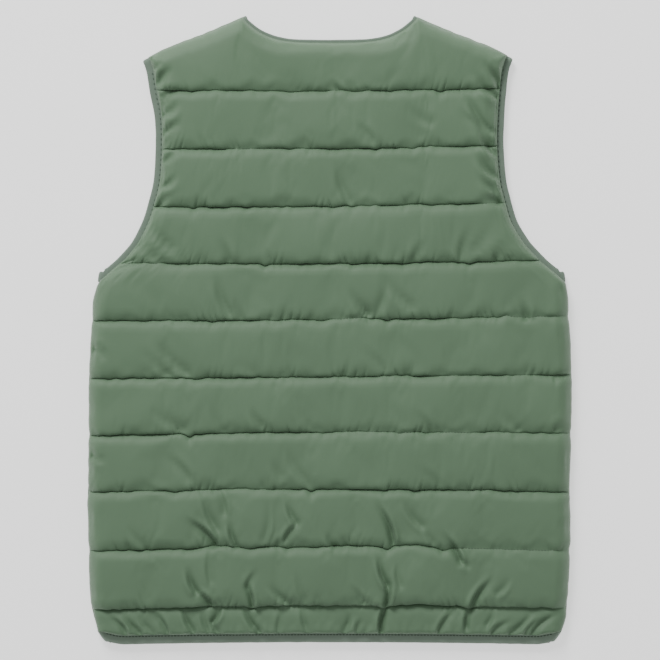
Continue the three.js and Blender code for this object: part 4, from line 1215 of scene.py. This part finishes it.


# %% [markdown]
# ## Sewing the seams and the tapes
# The quilting thread lies in the grooves, a little darker than the cloth, partly painted shade of
# the grooves. The tapes have a thicker thread along their inner edge, painted darker as painted
# shade where the stitches sink in, with longer gaps round the armholes.

# %% Sew
SEAM_LIFT = 0.1  # how far the thread lies above the groove
ARMHOLE_INSET, HEM_STITCH_INSET = 0.5, 1.3  # from the inner edge of each tape
seam_lines = [back_outer[row, 6:-6] for row in np.flatnonzero(fine_share[:, 0] == 0)[1:]]
seam_rows_sewn = [stitch_row(line, SEAM_LIFT) for line in seam_lines]
seam_thread = bead_mesh("seam_thread", np.concatenate(seam_rows_sewn), THREAD)


def tape_line(ribs, inset, z):
    line = ribs["at"] + ribs["across"] * inset
    line[:, 2] = z
    return line


tape_top = BACK_MID + TAPE_THICK / 2 - 0.05
tape_rows = [stitch_row(tape_line(ribs, ARMHOLE_INSET, tape_top), 0.0, ARMHOLE_GAP)
             for _, ribs in armholes]
tape_rows.append(stitch_row(tape_line(hem_back, HEM_STITCH_INSET, tape_top), 0.0, HEM_GAP))
tape_thread = bead_mesh("tape_thread", np.concatenate(tape_rows), TAPE_THREAD)

# %% [markdown]
# ## Materials
# The shell is a fine matt nylon: smooth, with a weave too small to see from afar, and just
# enough sheen to lighten it at glancing angles. The tapes are a knitted elastic, a little greyer,
# with fine ribs. The studs are a moulded plastic.

# %% Material helpers
def linear(red, green, blue):
    """An sRGB colour, 0 to 255, as the linear colour that a shader works with."""
    def one(value):
        value /= 255
        return value / 12.92 if value <= 0.04045 else ((value + 0.055) / 1.055) ** 2.4
    return (one(red), one(green), one(blue), 1.0)


def new_material(name, colour, roughness, sheen=0.0):
    material = bpy.data.materials.new(name)
    material.use_nodes = True
    shader = material.node_tree.nodes["Principled BSDF"]
    for key, value in (("Base Color", colour), ("Roughness", roughness), ("Sheen Weight", sheen),
                       ("Sheen Roughness", 0.5)):
        shader.inputs[key].default_value = value
    return material, shader


def add_node(material, kind, **values):
    """A shader node with its inputs and properties set, found by name."""
    node = material.node_tree.nodes.new(kind)
    for key, value in values.items():
        if key in node.inputs:
            node.inputs[key].default_value = value
        else:
            setattr(node, key, value)
    return node


def link(material, a, b):
    material.node_tree.links.new(a, b)


# %% [markdown]
# ## Cloth, elastic, thread and plastic
# The cloth's colour drifts a little in large patches, and its weave is a fine bump that follows the
# cut. The elastic has coarser ribs. At the hem, where the tape is wider, it is painted paler:
# painted light for the shade that the padding rolling over the tape casts there. The seam thread is
# a little darker than the cloth, partly its own colour and partly painted shade of its grooves; the
# tape thread is painted darker still, as painted shade where its stitches sink in. The plastic is
# smoother, so that it has a small highlight.

# %% Cloth, elastic and plastic
CLOTH, CLOTH_DEEP = linear(97, 126, 97), linear(93, 121, 93)
ELASTIC, ELASTIC_DEEP = linear(116, 134, 119), linear(106, 125, 109)
# The hem's elastic is the same knit painted paler: painted light for the shade that the padding
# rolling over the hem tape casts on it.
HEM_ELASTIC_PAINTED_LIGHTER, HEM_ELASTIC_PAINTED_LIGHTER_DEEP = linear(135, 153, 137), linear(127, 145, 129)
PLASTIC = linear(84, 104, 86)


def mottled(material, shader, light, deep, scale):
    """Two close colours in large soft patches, as dyed cloth takes the light."""
    place = add_node(material, "ShaderNodeTexCoord")
    patches = add_node(material, "ShaderNodeTexNoise", Scale=scale, Detail=3.0, Roughness=0.5)
    mix = add_node(material, "ShaderNodeMix", data_type="RGBA")
    mix.inputs["A"].default_value, mix.inputs["B"].default_value = deep, light
    link(material, place.outputs["Object"], patches.inputs["Vector"])
    link(material, patches.outputs["Fac"], mix.inputs["Factor"])
    link(material, mix.outputs["Result"], shader.inputs["Base Color"])


def weave(material, shader, along, up, strength, height):
    """Threads that cross, as two sine waves of bump over the cut cloth, in threads per metre."""
    place = add_node(material, "ShaderNodeUVMap", uv_map="cut")
    split = add_node(material, "ShaderNodeSeparateXYZ")
    link(material, place.outputs["UV"], split.inputs["Vector"])
    waves = []
    for axis, per_metre in (("X", along), ("Y", up)):
        scaled = add_node(material, "ShaderNodeMath", operation="MULTIPLY")
        scaled.inputs[1].default_value = per_metre * 2 * math.pi
        sine = add_node(material, "ShaderNodeMath", operation="SINE")
        link(material, split.outputs[axis], scaled.inputs[0])
        link(material, scaled.outputs[0], sine.inputs[0])
        waves.append(sine)
    both = add_node(material, "ShaderNodeMath", operation="ADD")
    link(material, waves[0].outputs[0], both.inputs[0])
    link(material, waves[1].outputs[0], both.inputs[1])
    bump = add_node(material, "ShaderNodeBump", Strength=strength, Distance=height)
    link(material, both.outputs[0], bump.inputs["Height"])
    link(material, bump.outputs["Normal"], shader.inputs["Normal"])


def fabric(name, light, deep, roughness, sheen, patches, threads, strength, height):
    """A mottled cloth with threads, so many to a metre along and up."""
    material, shader = new_material(name, light, roughness, sheen)
    mottled(material, shader, light, deep, patches)
    weave(material, shader, *threads, strength, height)
    return material


# %% [markdown]
# ## What each piece is made of
# Every material is made once, and then given to the pieces that are cut from it.

# %% Give the pieces their materials
KNIT = (0.8, 0.2, 60, (1500, 900), 0.5, 0.00005)  # rough, with coarse ribs
shell_cloth = fabric("matt_nylon_taffeta", CLOTH, CLOTH_DEEP, 0.62, 0.12, 22, (2600, 2600), 0.25,
                     0.00002)
elastic = fabric("knitted_elastic", ELASTIC, ELASTIC_DEEP, *KNIT)
# The same knit, painted paler at the hem as painted light for the shade of the padding above it.
hem_elastic_painted_lighter = fabric("knitted_elastic_painted_lighter_at_hem", HEM_ELASTIC_PAINTED_LIGHTER, HEM_ELASTIC_PAINTED_LIGHTER_DEEP, *KNIT)
# The seam thread is a little darker than the cloth: partly its own colour and partly painted shade
# of the grooves it lies in.
thread, _ = new_material("seam_thread_partly_painted_shade", linear(78, 98, 78), 0.6)
# Painted shade: this thread is darker than the seam thread, so that its stitches show the shade
# where they sink in beside the tapes.
shade_painted_tape_thread, _ = new_material("tape_thread_with_painted_shade", linear(66, 84, 69), 0.6)
plastic, _ = new_material("moulded_plastic", PLASTIC, 0.35)

made_of = [
    (shell_cloth, [back_piece, *front_pieces, *placket_pieces]),
    (elastic, [*(tape for tape, _ in armholes), neck_piece]), (hem_elastic_painted_lighter, [hem_piece]),
    (thread, [seam_thread]), (shade_painted_tape_thread, [tape_thread]), (plastic, stud_pieces),
]
for material, pieces in made_of:
    for piece in pieces:
        piece.data.materials.append(material)
print(len(bpy.data.materials), "materials")

# %% [markdown]
# ## Floor, light and camera
# The vest lies on a white floor. A large soft light stands above its neck end, so that each
# channel is light below its upper seam and dark where it rolls over its lower one. The camera
# looks straight down.

# %% Stage
bpy.ops.object.select_all(action="DESELECT")
bpy.ops.mesh.primitive_plane_add(size=8, location=(0, 0, 0))
floor = bpy.context.object
floor.name = "floor"
floor_paint, floor_shader = new_material("white_floor", linear(252, 252, 252), 0.9)
floor_shader.inputs["Emission Color"].default_value = (1, 1, 1, 1)
floor_shader.inputs["Emission Strength"].default_value = 0.8
floor.data.materials.append(floor_paint)

world = bpy.data.worlds.new("studio")
bpy.context.scene.world = world
world.use_nodes = True
world.node_tree.nodes["Background"].inputs["Color"].default_value = (1, 1, 1, 1)
world.node_tree.nodes["Background"].inputs["Strength"].default_value = 0.5


def soft_light(name, size, power, location, target):
    bpy.ops.object.light_add(type="AREA", location=location)
    lamp = bpy.context.object
    lamp.name = name
    lamp.data.size = size
    lamp.data.energy = power
    way = np.array(target) - np.array(location)
    lamp.rotation_euler = (math.atan2(math.hypot(way[0], way[1]), -way[2]), 0,
                           math.atan2(-way[0], way[1]))
    return lamp


key_light = soft_light("key", 1.3, 94, (-1.0, 2.55, 2.1), (0, 0, 0))

CAMERA_HEIGHT, VEST_HEIGHT, PICTURE_WIDTH, SENSOR = 3, 0.01, 0.7128, 36
bpy.ops.object.camera_add(location=(0, 0, CAMERA_HEIGHT), rotation=(0, 0, 0))
camera = bpy.context.object
camera.data.lens = SENSOR * (CAMERA_HEIGHT - VEST_HEIGHT) / PICTURE_WIDTH
camera.data.sensor_width = SENSOR
bpy.context.scene.camera = camera
